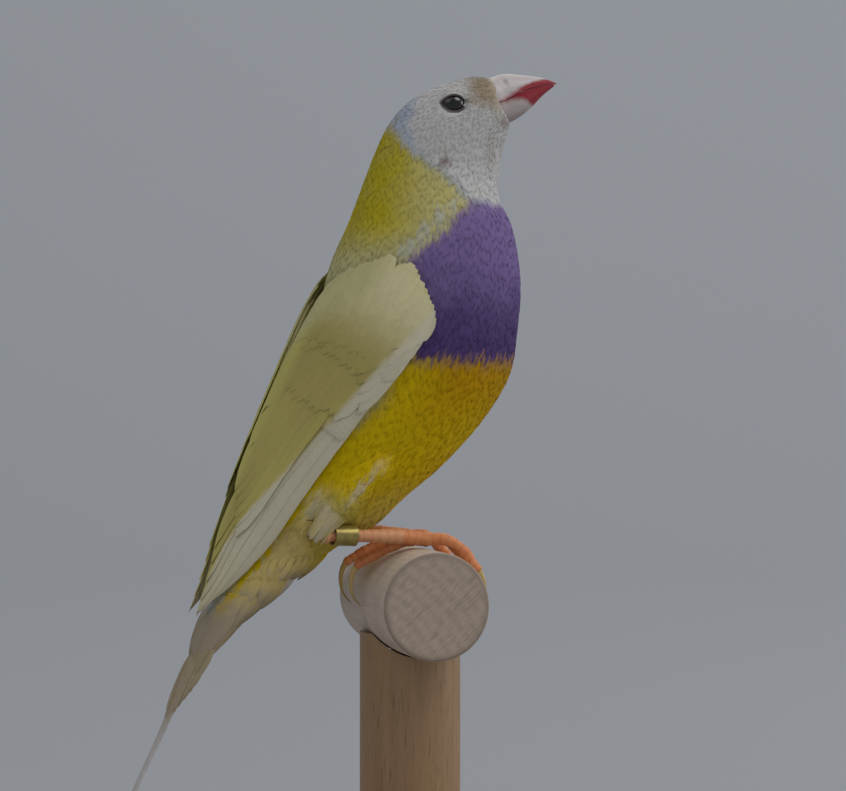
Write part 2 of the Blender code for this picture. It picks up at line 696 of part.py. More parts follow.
def make_stand(pale_wood, beech):
    perch = turned([(PERCH_RADIUS - PERCH_CHAMFER, PERCH_RIGHT_END),
                    (PERCH_RADIUS, PERCH_RIGHT_END + PERCH_CHAMFER),
                    (PERCH_RADIUS, PERCH_LEFT_END - PERCH_CHAMFER),
                    (PERCH_RADIUS - PERCH_CHAMFER, PERCH_LEFT_END)], "Y", 40)
    add_object("perch", *perch, pale_wood)
    saddle = turned([(PERCH_RADIUS + GAP, PERCH_RIGHT_END), (PERCH_RADIUS + GAP, PERCH_LEFT_END)],
                    "Y", 40)
    bottom = BASE_THICKNESS + GAP - PERCH_AXIS_HEIGHT
    post = turned([(POST_RADIUS, bottom), (POST_RADIUS, -POST_TOP_BELOW_AXIS)], "Z", 40)
    add_object("stand_post", *join_shapes([post], [saddle]), beech)
    edge = [(BASE_RADIUS - BASE_ROUNDING, 0.0), (BASE_RADIUS, BASE_ROUNDING)]
    for i in range(1, 5):
        turn = math.radians(22.5 * i)
        edge.append((BASE_RADIUS - BASE_ROUNDING * (1 - math.cos(turn)),
                     BASE_THICKNESS - BASE_ROUNDING * (1 - math.sin(turn))))
    add_object("stand_base", *turned(edge, "Z", 48), beech, height=0.0)


def main():
    clear_scene()
    feather_white = make_material("feather_white", (0.75, 0.74, 0.73), 0.8)
    feather_yellow = make_material("feather_yellow", (0.6, 0.5, 0.05), 0.8)
    feather_purple = make_material("feather_purple", (0.25, 0.18, 0.4), 0.8)
    feather_wing = make_material("feather_wing", (0.7, 0.65, 0.28), 0.7)
    feather_tail = make_material("feather_tail", (0.55, 0.5, 0.42), 0.7)
    horn = make_material("bill_horn", (0.8, 0.74, 0.72), 0.35)
    horn_red = make_material("bill_red", (0.5, 0.1, 0.1), 0.35)
    eye_dark = make_material("eye_dark", (0.03, 0.02, 0.02), 0.1)
    skin_pink = make_material("leg_skin", (0.7, 0.35, 0.22), 0.6)
    ring_gold = make_material("ring_gold", (0.5, 0.42, 0.12), 0.35, 1.0)
    pale_wood = make_material("perch_wood", (0.55, 0.48, 0.38), 0.6)
    beech = make_material("stand_wood", (0.5, 0.33, 0.18), 0.55)

    make_head(feather_white)
    make_bill(horn, horn_red)
    make_eyes(eye_dark)
    add_object("neck", *body_length(HEAD_ENDS_AT + STATION_CUT, NECK_ENDS_AT), feather_yellow)
    room = [leg_room(-1), leg_room(1)]
    torso = join_shapes([body_length(NECK_ENDS_AT + STATION_CUT, TORSO_ENDS_AT)], room)
    add_object("torso", *torso, feather_purple)
    rump = join_shapes([body_length(TORSO_ENDS_AT + STATION_CUT, RUMP_ENDS_AT)], room)
    add_object("tail_coverts", *rump, feather_yellow)
    swollen = [body_length(NECK_ENDS_AT - 1.0, RUMP_ENDS_AT, inflate=WING_OVER_BODY)]
    make_wings(feather_wing, swollen)
    make_tail(feather_tail)
    make_legs(skin_pink, ring_gold, swollen)
    make_feet(skin_pink)
    make_stand(pale_wood, beech)


main()
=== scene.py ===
"""Dresses the Gouldian finch: skin, feather coat, wings, tail, bill, eyes, legs and wood.

Tables and points are millimetres measured from the perch's axis, as in the part's source.
The bird looks along +X, and its right side is towards -Y.
"""

import json
import math

import bpy
import numpy as np
from bpy.props import FloatProperty, FloatVectorProperty, IntProperty, PointerProperty
from bpy.types import Operator, Panel, PropertyGroup
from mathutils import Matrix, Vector
from mathutils.kdtree import KDTree

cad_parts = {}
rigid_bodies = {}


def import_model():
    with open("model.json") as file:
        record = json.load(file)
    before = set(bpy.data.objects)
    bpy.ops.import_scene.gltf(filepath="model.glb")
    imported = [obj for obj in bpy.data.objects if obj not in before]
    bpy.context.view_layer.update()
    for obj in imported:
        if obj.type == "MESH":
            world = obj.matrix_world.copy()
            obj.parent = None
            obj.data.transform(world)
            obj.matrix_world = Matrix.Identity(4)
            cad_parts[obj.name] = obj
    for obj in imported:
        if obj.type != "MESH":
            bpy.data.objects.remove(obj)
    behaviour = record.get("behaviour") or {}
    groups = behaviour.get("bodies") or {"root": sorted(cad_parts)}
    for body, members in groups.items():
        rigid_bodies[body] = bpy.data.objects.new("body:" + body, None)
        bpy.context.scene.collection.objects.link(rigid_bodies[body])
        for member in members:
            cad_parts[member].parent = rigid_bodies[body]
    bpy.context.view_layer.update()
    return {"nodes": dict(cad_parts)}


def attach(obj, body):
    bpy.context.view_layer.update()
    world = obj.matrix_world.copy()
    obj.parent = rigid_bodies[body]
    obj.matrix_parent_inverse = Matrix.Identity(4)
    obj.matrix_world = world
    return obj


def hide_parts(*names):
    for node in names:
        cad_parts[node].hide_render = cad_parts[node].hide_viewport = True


bl_info = {
    "name": "Gouldian finch on a dowel",
    "version": (1, 0, 0),
    "blender": (4, 5, 0),
    "location": "3D View > Sidebar > Finch",
    "description": "Makes the skin, feathers, bill, eyes, legs and stand of a life-size finch",
    "category": "Object",
}

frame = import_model()

MM = 0.001
PERCH_HEIGHT = 51.0

# Head and body: back x, back z, front x, front z and half width at each station
BODY_STATIONS = [
    (14.3, 86.1, 16.5, 78.4, 3.6),
    (10.3, 86.2, 16.8, 77.4, 5.8),
    (5.2, 84.7, 16.4, 75.7, 7.2),
    (0.0, 82.0, 15.8, 73.7, 7.6),
    (-3.5, 78.3, 15.4, 71.5, 7.7),
    (-5.8, 73.7, 15.1, 69.0, 8.1),
    (-7.7, 68.8, 15.0, 65.8, 9.4),
    (-10.4, 61.5, 17.0, 61.6, 11.8),
    (-13.6, 54.1, 18.1, 56.7, 13.4),
    (-15.6, 45.0, 18.6, 50.9, 14.0),
    (-19.5, 37.1, 18.0, 43.5, 14.0),
    (-21.8, 31.4, 16.8, 36.8, 13.3),
    (-24.0, 25.5, 12.2, 29.4, 12.4),
    (-26.0, 20.6, 5.3, 22.0, 11.2),
    (-27.8, 15.6, -0.7, 17.1, 9.8),
    (-29.4, 11.6, -5.8, 12.4, 8.4),
    (-30.5, 7.7, -12.1, 9.1, 7.2),
    (-32.3, 3.1, -20.9, 2.7, 6.2),
    (-34.1, -0.5, -25.9, -0.6, 5.4),
    (-35.9, -4.2, -29.3, -4.4, 4.7),
]
LAST_STATION = len(BODY_STATIONS) - 1.0
BODY_FULLNESS = 0.94
COAT_DEPTH = 0.4
SKIN_VOXEL = 0.42
ANKLE = (-16.8, 9.3, 11.2)
THIGH = [((13.0, -3.0, 16.5), 2.3), ((9.5, -0.6, 12.0), 3.4), ((3.0, 0.0, 5.0), 3.1),
         ((0.2, 0.0, 1.9), 1.2)]
TARSUS_END = (-3.6, 10.7)
FOOT_SIDE = 6.5
TARSUS_RADII = [(-0.02, 0.8), (0.05, 1.25), (0.12, 0.98), (0.3, 0.93), (0.6, 1.0), (0.85, 1.12),
                (1.04, 1.2)]

# Length of the small feathers in millimetres at each body station
FEATHER_SIZE = [(0.0, 0.62), (1.5, 0.75), (3.5, 1.0), (5.0, 1.15), (7.5, 1.6), (10.0, 1.9),
                (14.0, 2.1), (17.0, 2.3), (19.0, 2.0)]

# Sleeve of soft vanes round the ankle: x, height and radius along it, and where its front looks
SLEEVE_X = [(0, 3.0), (0.5, 0.8), (1, -1.5)]
SLEEVE_Z = [(0, 5.0), (0.5, 2.2), (1, -1.1)]
SLEEVE_RADIUS = [(0, 2.45), (0.3, 2.1), (0.6, 1.65), (1, 1.35)]
SLEEVE_FRONT = (0.77, 0.0, -0.64)

# Edges of the markings, each a table of (height, x) on the side of the bird
MASK_EDGE = [(64.6, 19.0), (65.2, 12.0), (65.8, 8.2), (67.2, 6.9), (69.4, 4.9), (72.3, 0.8),
             (76.1, -1.5), (79.3, -0.8), (82.0, 1.0), (86.0, 3.0)]
BREAST_REAR = [(36.0, -9.5), (50.0, -8.2), (54.8, -4.8), (59.8, 1.1), (64.8, 6.0), (66.5, 9.5)]
BREAST_LOW = 39.0
STREAK = ((-4.8, 26.0), (-15.0, 14.3))

# Bill, measured along its own axis from the middle of its base
BILL_BASE = (15.4, 82.25)
BILL_RISE = math.radians(17.1)
BILL_LENGTH = 10.2
CULMEN = [(0.0, 4.0), (1.6, 4.0), (4.9, 2.9), (8.0, 1.6), (10.2, 0.1)]
TOMIUM = [(0.0, -0.3), (1.7, 0.0), (3.7, 0.4), (8.0, 0.3), (10.2, -0.1)]
GONYS = [(0.0, -4.0), (1.1, -3.9), (2.9, -3.4), (5.0, -2.5), (7.15, -1.3), (9.6, -0.3)]
BILL_HALF_WIDTH = [(-2.4, 4.35), (-1.0, 4.0), (0.0, 3.6), (3.0, 2.9), (6.0, 1.8), (8.5, 0.85),
                   (10.2, 0.15)]
BILL_START = -2.3
BILL_MARGIN = [(-4.6, 0.2), (-3.6, -0.8), (-2.0, -1.6), (0.0, -1.9), (2.0, -1.5), (3.6, -0.9),
               (4.6, 0.0)]
NOSTRIL = (0.4, 2.5)

EYE_CENTRE = (5.8, 4.75, 80.8)
EYE_RADIUS = 2.3
EYE_FLATNESS = 0.8
EYE_OPENING = (1.72, 1.25)
LID_WIDTH = 0.54
LID_PROFILE = [(-0.08, -0.25), (-0.05, 0.02), (0.01, 0.12), (0.08, 0.17), (0.18, 0.18),
               (0.30, 0.16), (0.42, 0.10), (0.50, 0.0), (LID_WIDTH, -0.3), (0.3, -0.6),
               (0.05, -0.6)]
EYE_STRETCH = (EYE_OPENING[0] + LID_WIDTH) / (EYE_OPENING[1] + LID_WIDTH)

# Wing: a curved sheet, measured from the wrist along the folded wing to its tip
WING_WRIST = (-0.2, 45.4)
WING_TIP = (-36.3, -2.0)
WING_LOWER_Y = [(-6, 14.6), (0, 15.3), (7, 15.3), (15, 14.3), (23, 13.0), (33, 10.8),
                (44, 8.2), (53, 5.8), (59.6, 3.9)]
WING_INNER_Y = [(-6, 4.0), (6, 3.4), (15, 1.6), (24, 0.5), (44, 0.5), (59.6, 2.9)]
WING_LOWER_RISE = [(-6, 0.0), (7, -0.7), (23, -0.4), (33, -0.8), (44, -1.4), (59.6, 0.0)]
WING_UPPER_RISE = [(-6, 17.8), (2, 15.9), (10, 14.7), (18, 13.1), (28, 10.7), (38, 8.0),
                   (46, 5.2), (52, 2.8), (57, 1.2), (59.6, 0.4)]
WING_FRONT = [(0.0, 0.0), (0.10, -1.9), (0.22, -3.6), (0.31, -4.6), (0.52, 0.2), (0.81, 4.9),
              (1.0, 8.0)]
WING_PLATE_END = 24.0
WING_OUTWARDS = (-0.8, 1.0, 0.6)
HAND_BAND = [(0.0, 0.05), (9.7, 0.12), (22.3, 0.18), (33.7, 0.30), (43.2, 0.50), (50.5, 0.70),
             (55.5, 0.82), (60.0, 1.0)]
PRIMARY_TIPS = [(56.5, 0.1), (59.4, 0.35), (59.0, 0.6), (56.8, 0.75), (54.0, 0.82),
                (51.2, 0.84), (48.8, 0.86)]
TERTIALS = [((15.0, 0.72), (39.0, 0.82), 2.4), ((14.0, 0.82), (33.0, 0.87), 2.6),
            ((13.0, 0.92), (27.0, 0.93), 2.6)]

# Tail, measured from the end of the rump along its own direction
TAIL_ROOT = (-33.2, -5.9)
TAIL_DIRECTION = (-0.348, -0.937)
TAIL_PIN_LENGTH = 33.5
TAIL_SIDE_LENGTHS = (13.0, 11.6, 10.4, 9.2, 8.0)
# Block that the tail feathers grow from: distance, height, depth and half width of its rings
TAIL_BLOCK = [(0.0, 0.5, 2.2, 4.1), (3.5, 0.7, 1.5, 3.8), (7.5, 1.0, 0.6, 2.8)]
# Rows of long coverts: the body station of their roots, their length and their number
LONG_COVERTS = [(16.2, 4.6, 40), (16.8, 5.0, 40), (17.4, 5.8, 40), (18.0, 6.6, 36),
                (18.4, 7.2, 32)]
PIN_RISE = [(0.0, 1.9), (8.0, 1.95), (13.0, 2.2), (17.0, 2.4), (23.0, 2.9), (27.0, 3.2),
            (34.5, 3.9)]

# Toes round the perch: share of the length, degrees above the front, height over the wood
FRONT_TOE = [(0.0, 86, 1.35), (0.15, 74, 2.0), (0.3, 62, 2.3), (0.45, 50, 2.1), (0.6, 38, 1.7),
             (0.75, 27, 1.7), (0.9, 13, 1.4), (1.0, 4, 0.45)]
HIND_TOE = [(0.0, 94, 1.35), (0.2, 110, 1.3), (0.4, 126, 1.4), (0.55, 138, 2.0),
            (0.7, 149, 2.8), (0.8, 159, 2.8), (0.92, 174, 1.9), (1.0, 184, 0.5)]
CLAW_STARTS_AT = 0.72

PERCH_RADIUS = 8.65
PERCH_RIGHT_END = -17.2
PERCH_LEFT_END = 14.2
BASE_RADIUS = 40.0
BASE_THICKNESS = 8.0

# Leg ring: how far below the ankle it starts, and its (height, radius) profile
RING_START = 1.8
RING_PROFILE = [(0.15, 1.70), (0.04, 1.68), (0.0, 1.52), (0.0, 1.42), (0.08, 1.32), (0.3, 1.28),
                (3.7, 1.28), (3.92, 1.32), (4.0, 1.42), (4.0, 1.52), (3.96, 1.68), (3.85, 1.70),
                (3.5, 1.66), (0.5, 1.66)]

# Feathers: most per square metre, unevenness of their lie, shares of the skin's shading that
# they take, their patch of the bake map, and their relief in millimetres and sheen
COAT_DENSITY = 3.0e7
LIE_JITTER = (0.22, 0.22, 0.22)
COAT_SOFTNESS = 0.85
WING_SOFTNESS = 0.8
BAKE_PATCH = (0.0015, 0.003)
BARB_RELIEF = 0.02
FEATHER_SHEEN = 0.02

# Small touches of colour
PUPIL_BLACK = (0.003, 0.003, 0.003)
EYE_RIM = (0.006, 0.005, 0.005)
LID_OUTER_EDGE = (0.55, 0.52, 0.49)
CHIN_BROWN = (0.24, 0.12, 0.10)
RING_WORN = (0.26, 0.20, 0.07)
DOWEL_DIRT = (0.42, 0.36, 0.29)
ANKLE_DOWN = (0.50, 0.43, 0.27)
BACKDROP_WEAVE = (0.2, 0.22, 0.24)

# Stage, in metres and degrees
CAMERA_TURN = -14.6
CAMERA_RIGHT = 0.00213
CAMERA_HEIGHT = 0.0844
BACKDROP_GLOW = 0.61
BACKDROP_FLOOR = 0.8
BACKDROP_BEND = 0.5
SKY_STRENGTH = 0.42
LIGHT_AIM = (0.0, 0.0, 0.09)
LIGHTS = [
    ("key_light", (0.55, -0.45, 0.95), 0.7, 1.0, (1.0, 0.975, 0.94)),
    ("fill_light", (-0.75, -0.6, 0.7), 0.9, 0.35, (1.0, 0.98, 0.96)),
    ("back_light", (0.2, 0.9, 0.9), 0.9, 0.45, (1.0, 0.985, 0.97)),
    ("side_light", (0.62, -0.1, 0.22), 0.35, 0.20, (1.0, 0.985, 0.96)),
]


def colour_property(name, description, value):
    return FloatVectorProperty(name=name, description=description, default=value, size=3,
                               min=0.0, max=1.0, subtype="COLOR")


def length_property(name, description, millimetres):
    return FloatProperty(name=name, description=description, default=millimetres * MM,
                         min=0.0, unit="LENGTH", subtype="DISTANCE", precision=5)


class FinchCoatSettings(PropertyGroup):
    """Spacing, lift and colours of the small feathers on the head and body."""
    face_spacing: length_property("Face spacing", "Least distance of face feathers", 0.36)
    neck_spacing: length_property("Neck spacing", "Least distance of neck feathers", 0.46)
    body_spacing: length_property("Body spacing", "Least distance of body feathers", 0.56)
    lift: length_property("Lift", "Height of a feather's tip over the skin", 0.22)
    seed: IntProperty(name="Seed", description="Seed of every random turn and shade", default=7)
    mask: colour_property("Mask", "White of the head and throat", (0.665, 0.652, 0.645))
    # The lore's beige-brown is also laid as painted shade, a soft vertical shade line down the
    # throat
    lore_and_throat_shade: colour_property("Lore", "Beige-brown between eye and bill", (0.33, 0.245, 0.135))
    ear_spot: colour_property("Ear spot", "Brown spot low on the cheek", (0.16, 0.075, 0.06))
    # Painted shade: grey green that stands for the shade in the crease between cheek and neck, also
    # laid faintly over the lower head
    shaded_fold: colour_property("Fold", "Grey green of the fold behind the cheek", (0.36, 0.37, 0.28))
    nape_band: colour_property("Nape band", "Pale blue behind the mask", (0.50, 0.56, 0.66))
    nape: colour_property("Nape", "Yellow-green of the nape", (0.58, 0.47, 0.02))
    mantle: colour_property("Mantle", "Soft olive yellow of the mantle", (0.60, 0.56, 0.28))
    breast: colour_property("Breast", "Purple of the breast", (0.235, 0.165, 0.38))
    # Painted shade: the low breast's deeper purple is the breast's purple darkened where it turns
    # down, away from the light
    breast_low: colour_property("Low breast", "Deep purple of its lower part", (0.098, 0.060, 0.19))
    belly: colour_property("Belly", "Egg yellow of the belly", (0.70, 0.46, 0.002))
    belly_high: colour_property("High belly", "Orange yellow below the breast", (0.56, 0.30, 0.002))
    flank: colour_property("Flank", "Paler yellow beside the wing", (0.74, 0.52, 0.004))
    leg_side: colour_property("Leg side", "Olive yellow above the legs", (0.60, 0.49, 0.09))
    vent: colour_property("Vent", "White down round the legs", (0.78, 0.74, 0.71))
    undertail: colour_property("Undertail", "Straw yellow under the tail", (0.72, 0.56, 0.20))
    rump: colour_property("Rump", "Pale blue-grey of the rump", (0.62, 0.66, 0.60))


class FinchWingSettings(PropertyGroup):
    """Colours and relief of the folded wings and the tail."""
    relief: length_property("Relief", "Lift of one tier of feathers over the next", 0.06)
    # Painted highlight: the shoulder is painted paler where the light falls on it
    shoulder_highlight: colour_property("Shoulder", "Pale cream of the shoulder", (0.73, 0.67, 0.38))
    coverts: colour_property("Coverts", "Cream yellow of the coverts", (0.46, 0.385, 0.13))
    olive: colour_property("Olive", "Olive of the inner flight feathers", (0.60, 0.52, 0.155))
    back_edge: colour_property("Back edge", "Olive yellow along the back", (0.58, 0.53, 0.16))
    hand: colour_property("Hand", "Whitish outer webs of the primaries", (0.70, 0.64, 0.47))
    tail_middle: colour_property("Tail middle", "Grey brown of the middle", (0.44, 0.36, 0.26))
    tail_side: colour_property("Tail side", "Beige of the side feathers", (0.44, 0.36, 0.22))
    tail_pin: colour_property("Tail pin", "Pale grey of the long pins", (0.60, 0.57, 0.55))


class FinchBareSettings(PropertyGroup):
    """Colours of the bill, eyes, legs and ring."""
    ivory: colour_property("Ivory", "Base of the upper bill", (0.60, 0.545, 0.545))
    bill_red: colour_property("Bill red", "Tip and edges of the bill", (0.30, 0.009, 0.022))
    bill_pale: colour_property("Bill pale", "Base of the lower bill", (0.47, 0.41, 0.39))
    iris: colour_property("Iris", "Dark brown of the iris", (0.016, 0.010, 0.009))
    lid: colour_property("Lid", "Grey skin of the lids", (0.10, 0.085, 0.08))
    leg: colour_property("Leg", "Salmon pink of the legs", (0.74, 0.32, 0.15))
    toe: colour_property("Toe", "Orange pink of the toes", (0.76, 0.26, 0.095))
    claw: colour_property("Claw", "Horn yellow of the claws", (0.60, 0.44, 0.16))
    ring: colour_property("Ring", "Olive gold of the leg ring", (0.42, 0.34, 0.10))


class FinchStandSettings(PropertyGroup):
    """Colours of the perch and its stand."""
    end_grain: colour_property("End grain", "Cut ends of the perch", (0.53, 0.42, 0.33))
    perch_side: colour_property("Perch side", "Pale side of the perch", (0.68, 0.57, 0.47))
    beech: colour_property("Beech", "Brown of the post and base", (0.33, 0.205, 0.105))


class FinchStageSettings(PropertyGroup):
    """Camera, lights and backdrop."""
    backdrop: colour_property("Backdrop", "Pale blue grey of the backdrop", (0.230, 0.243, 0.262))
    key_power: FloatProperty(name="Key light", description="Power of the soft key light",
                             default=3.2, min=0.0, unit="POWER")
    lens: FloatProperty(name="Lens", description="Focal length of the camera",
                        default=111.62, min=1.0, unit="CAMERA")
    distance: length_property("Distance", "Camera to the post's axis", 430.0)


class FinchSettings(PropertyGroup):
    """All sizes and colours of the finch."""
    coat: PointerProperty(type=FinchCoatSettings)
    wing: PointerProperty(type=FinchWingSettings)
    bare: PointerProperty(type=FinchBareSettings)
    stand: PointerProperty(type=FinchStandSettings)
    stage: PointerProperty(type=FinchStageSettings)


def feed(tree, socket, value):
    """Links a wire to a socket, or gives the socket a fixed value."""
    if isinstance(value, Wire):
        tree.links.new(value.socket, socket)
    elif value is not None:
        socket.default_value = value


class Wire:
    """A shader socket that can be used in Python arithmetic."""

    def __init__(self, tree, socket):
        self.tree = tree
        self.socket = socket

    def maths(self, operation, first, second=None):
        node = self.tree.nodes.new("ShaderNodeMath")
        node.operation = operation
        feed(self.tree, node.inputs[0], first)
        feed(self.tree, node.inputs[1], second)
        return Wire(self.tree, node.outputs[0])

    def __add__(self, other):
        return self.maths("ADD", self, other)

    def __sub__(self, other):
        return self.maths("SUBTRACT", self, other)

    def __mul__(self, other):
        return self.maths("MULTIPLY", self, other)

    def __radd__(self, other):
        return self.maths("ADD", other, self)

    def __rsub__(self, other):
        return self.maths("SUBTRACT", other, self)

    def __rmul__(self, other):
        return self.maths("MULTIPLY", other, self)

    def sine(self):
        return self.maths("SINE", self)

    def size(self):
        return self.maths("ABSOLUTE", self)

    def power(self, exponent):
        return self.maths("POWER", self, exponent)

    def kept(self):
        node = self.maths("MULTIPLY", self, 1.0)
        node.socket.node.use_clamp = True
        return node


class Finish:
    """A material under construction, with its Principled shader."""

    def __init__(self, name, roughness, **constants):
        self.material = bpy.data.materials.new(name)
        self.material.use_nodes = True
        self.tree = self.material.node_tree
        self.shader = self.tree.nodes["Principled BSDF"]
        self.shader.inputs["Roughness"].default_value = roughness
        for label, value in constants.items():
            self.shader.inputs[label.replace("_", " ")].default_value = value

    def node(self, kind, settings=None, sockets=None, output=0):
        """Adds a node: settings first, then the values or links of its sockets."""
        made = self.tree.nodes.new(kind)
        for label, value in (settings or {}).items():
            setattr(made, label, value)
        for label, value in (sockets or {}).items():
            feed(self.tree, made.inputs[label], value)
        return Wire(self.tree, made.outputs[output])

    def attribute(self, name, output="Fac"):
        return self.node("ShaderNodeAttribute", {"attribute_name": name}, None, output)

    def place(self):
        return self.node("ShaderNodeTexCoord", None, None, "Object")

    def parts(self, vector):
        wire = self.node("ShaderNodeSeparateXYZ", None, {"Vector": vector})
        return [Wire(self.tree, socket) for socket in wire.socket.node.outputs]

    def noise(self, vector, scale, detail=2.0):
        return self.node("ShaderNodeTexNoise", None,
                         {"Vector": vector, "Scale": scale, "Detail": detail}, "Fac")

    def stretched(self, vector, scale, turn=(0.0, 0.0, 0.0)):
        return self.node("ShaderNodeMapping", None,
                         {"Vector": vector, "Scale": scale, "Rotation": turn})

    def joined(self, x, y, z):
        return self.node("ShaderNodeCombineXYZ", None, {"X": x, "Y": y, "Z": z})

    def mix(self, share, first, second):
        """Mixes two colours; a tuple stands for a fixed colour."""
        first, second = (colour if isinstance(colour, Wire) else (*colour, 1.0)
                         for colour in (first, second))
        return self.node("ShaderNodeMix", {"data_type": "RGBA"},
                         {0: share, 6: first, 7: second}, 2)

    def scaled(self, colour, share):
        """A colour made lighter or darker by a number or a wire."""
        return self.node("ShaderNodeVectorMath", {"operation": "SCALE"},
                         {0: colour, "Scale": share})

    def paint(self, socket, wire):
        self.tree.links.new(wire.socket, self.shader.inputs[socket])

    def done(self, colour, roughness=None, height=None, depth=0.0):
        """Lays on the colour, roughness and relief, whose depth is in millimetres."""
        self.paint("Base Color", colour)
        if roughness is not None:
            self.paint("Roughness", roughness)
        if height is not None:
            self.paint("Normal", self.node("ShaderNodeBump", None,
                                           {"Height": height, "Distance": depth * MM}))
        return self.material


def shades(colour, shares):
    """A colour with each channel made lighter or darker by its share, up to white."""
    return tuple(min(1.0, channel * share) for channel, share in zip(colour, shares))


def feather_finish(name, barbs, streak):
    """Feathers: colour from the marking, with slanting barbs, a faint shaft and paler tips."""
    finish = Finish(name, 0.75, Sheen_Weight=FEATHER_SHEEN, Sheen_Roughness=0.5,
                    Specular_IOR_Level=0.06)
    across, length, _ = finish.parts(finish.attribute("vane", "Vector"))
    shade = finish.attribute("shade")
    marking = finish.attribute("marking", "Color")
    wander = finish.noise(finish.place(), 900.0, 2.0)
    slant = length * barbs - across.size() * (barbs * 0.22) + wander * 2.0
    barb = (slant * (2.0 * math.pi)).sine()
    shaft = (1.0 - across.size() * 9.0).kept()
    light = (0.95 + shade * 0.07 + barb * streak + length * 0.05 - shaft * 0.04
             + (wander - 0.5) * 0.08)
    return finish.done(finish.scaled(marking, light), None, barb * 0.5 + shaft * 1.2,
                       BARB_RELIEF)


def skin_finish():
    finish = Finish("down_under_coat", 0.85, Specular_IOR_Level=0.2)
    grain = finish.noise(finish.place(), 1400.0, 3.0)
    colour = finish.scaled(finish.attribute("marking", "Color"), 0.92 + grain * 0.1)
    return finish.done(colour, None, grain, 0.15)


def horn_finish(bare):
    """Bill horn: pale at the base, red along the cutting edges and at the tip, brown chin."""
    finish = Finish("bill_horn", 0.4, Coat_Weight=0.1, Coat_Roughness=0.25,
                    Specular_IOR_Level=0.3, Subsurface_Weight=0.1, Subsurface_Scale=0.0008)
    along, rise, upper = finish.parts(finish.attribute("bill", "Vector"))
    grain = finish.noise(finish.place(), 700.0, 3.0)
    edge_above = along * 0.35 + along * along * along * 0.9 + 0.06
    edge_below = along * 0.35 + along * along * along * 7.0 + 0.05
    red_above = ((edge_above - rise) * 3.2 + 0.5 + (grain - 0.5) * 0.7).kept()
    red_below = ((edge_below - rise) * 2.8 + 0.5 + (grain - 0.5) * 0.7).kept()
    reach = red_above * upper + red_below * (1.0 - upper)
    soft = reach * reach * (3.0 - reach * 2.0)
    base = finish.mix(upper, tuple(bare.bill_pale), tuple(bare.ivory))
    chin = ((rise - 0.66) * 3.5).kept() * (1.0 - upper) * ((0.45 - along) * 5.0).kept()
    base = finish.mix(chin * 0.6, base, CHIN_BROWN)
    colour = finish.mix(soft, base, tuple(bare.bill_red))
    streaks = finish.noise(finish.stretched(finish.place(), (250.0, 1800.0, 1400.0),
                                            (0.0, BILL_RISE, 0.0)), 1.0, 2.0)
    return finish.done(finish.scaled(colour, 0.9 + streaks * 0.2), 0.28 + grain * 0.16,
                       streaks + grain * 0.5, 0.03)


def eye_finish(bare):
    finish = Finish("eye_wet", 0.06, Coat_Weight=0.6, Coat_Roughness=0.02, IOR=1.45)
    reach = finish.attribute("reach")
    rays = finish.noise(finish.place(), 2500.0, 2.0)
    in_iris = ((reach - 0.42) * 14.0).kept()
    rim = ((reach - 0.80) * 9.0).kept()
    iris = finish.scaled(finish.mix(in_iris, PUPIL_BLACK, tuple(bare.iris)), 0.7 + rays * 0.6)
    return finish.done(finish.mix(rim, iris, EYE_RIM), 0.04 + rays * 0.03)


def lid_finish(bare):
    finish = Finish("eye_lids", 0.5)
    grain = finish.noise(finish.place(), 3500.0, 3.0)
    outer = finish.attribute("reach")
    colour = finish.mix((outer * 4.0 - 0.7).kept(), tuple(bare.lid), LID_OUTER_EDGE)
    return finish.done(finish.scaled(colour, 0.75 + grain * 0.5), None, grain, 0.05)


def leg_finish(name, colour):
    """Scaly leg skin: paler scutes with darker joints between them."""
    finish = Finish(name, 0.48, Subsurface_Weight=0.12, Subsurface_Scale=0.0008)
    joint = finish.attribute("joint")
    grain = finish.noise(finish.place(), 1600.0, 3.0)
    blotch = finish.noise(finish.place(), 350.0, 2.0)
    dark = shades(colour, (0.72, 0.5, 0.42))
    pale = shades(colour, (1.1, 1.3, 1.4))
    tone = finish.mix((blotch * 2.4 - 0.7).kept(), tuple(colour), pale)
    tone = finish.mix((joint * 0.75).kept(), tone, dark)
    return finish.done(finish.scaled(tone, 0.88 + grain * 0.24), 0.4 + grain * 0.2,
                       grain * 0.6 - joint, 0.06)


def claw_finish(bare):
    finish = Finish("claw_horn", 0.3, Coat_Weight=0.2)
    grain = finish.noise(finish.stretched(finish.place(), (1500.0, 1500.0, 400.0)), 1.0, 2.0)
    tip = finish.attribute("reach")
    colour = finish.mix((tip * 1.2 - 0.4).kept(), tuple(bare.claw),
                        shades(bare.claw, (0.45, 0.45, 0.45)))
    return finish.done(finish.scaled(colour, 0.85 + grain * 0.3), None, grain, 0.02)


def ring_finish(bare):
    finish = Finish("ring_gold", 0.45, Metallic=0.6)
    brushed = finish.noise(finish.stretched(finish.place(), (400.0, 3500.0, 3500.0)), 1.0, 3.0)
    worn = finish.noise(finish.place(), 600.0, 3.0)
    colour = finish.mix((worn * 2.2 - 0.8).kept(), tuple(bare.ring), RING_WORN)
    return finish.done(finish.scaled(colour, 0.9 + brushed * 0.3), 0.25 + brushed * 0.2,
                       brushed, 0.01)


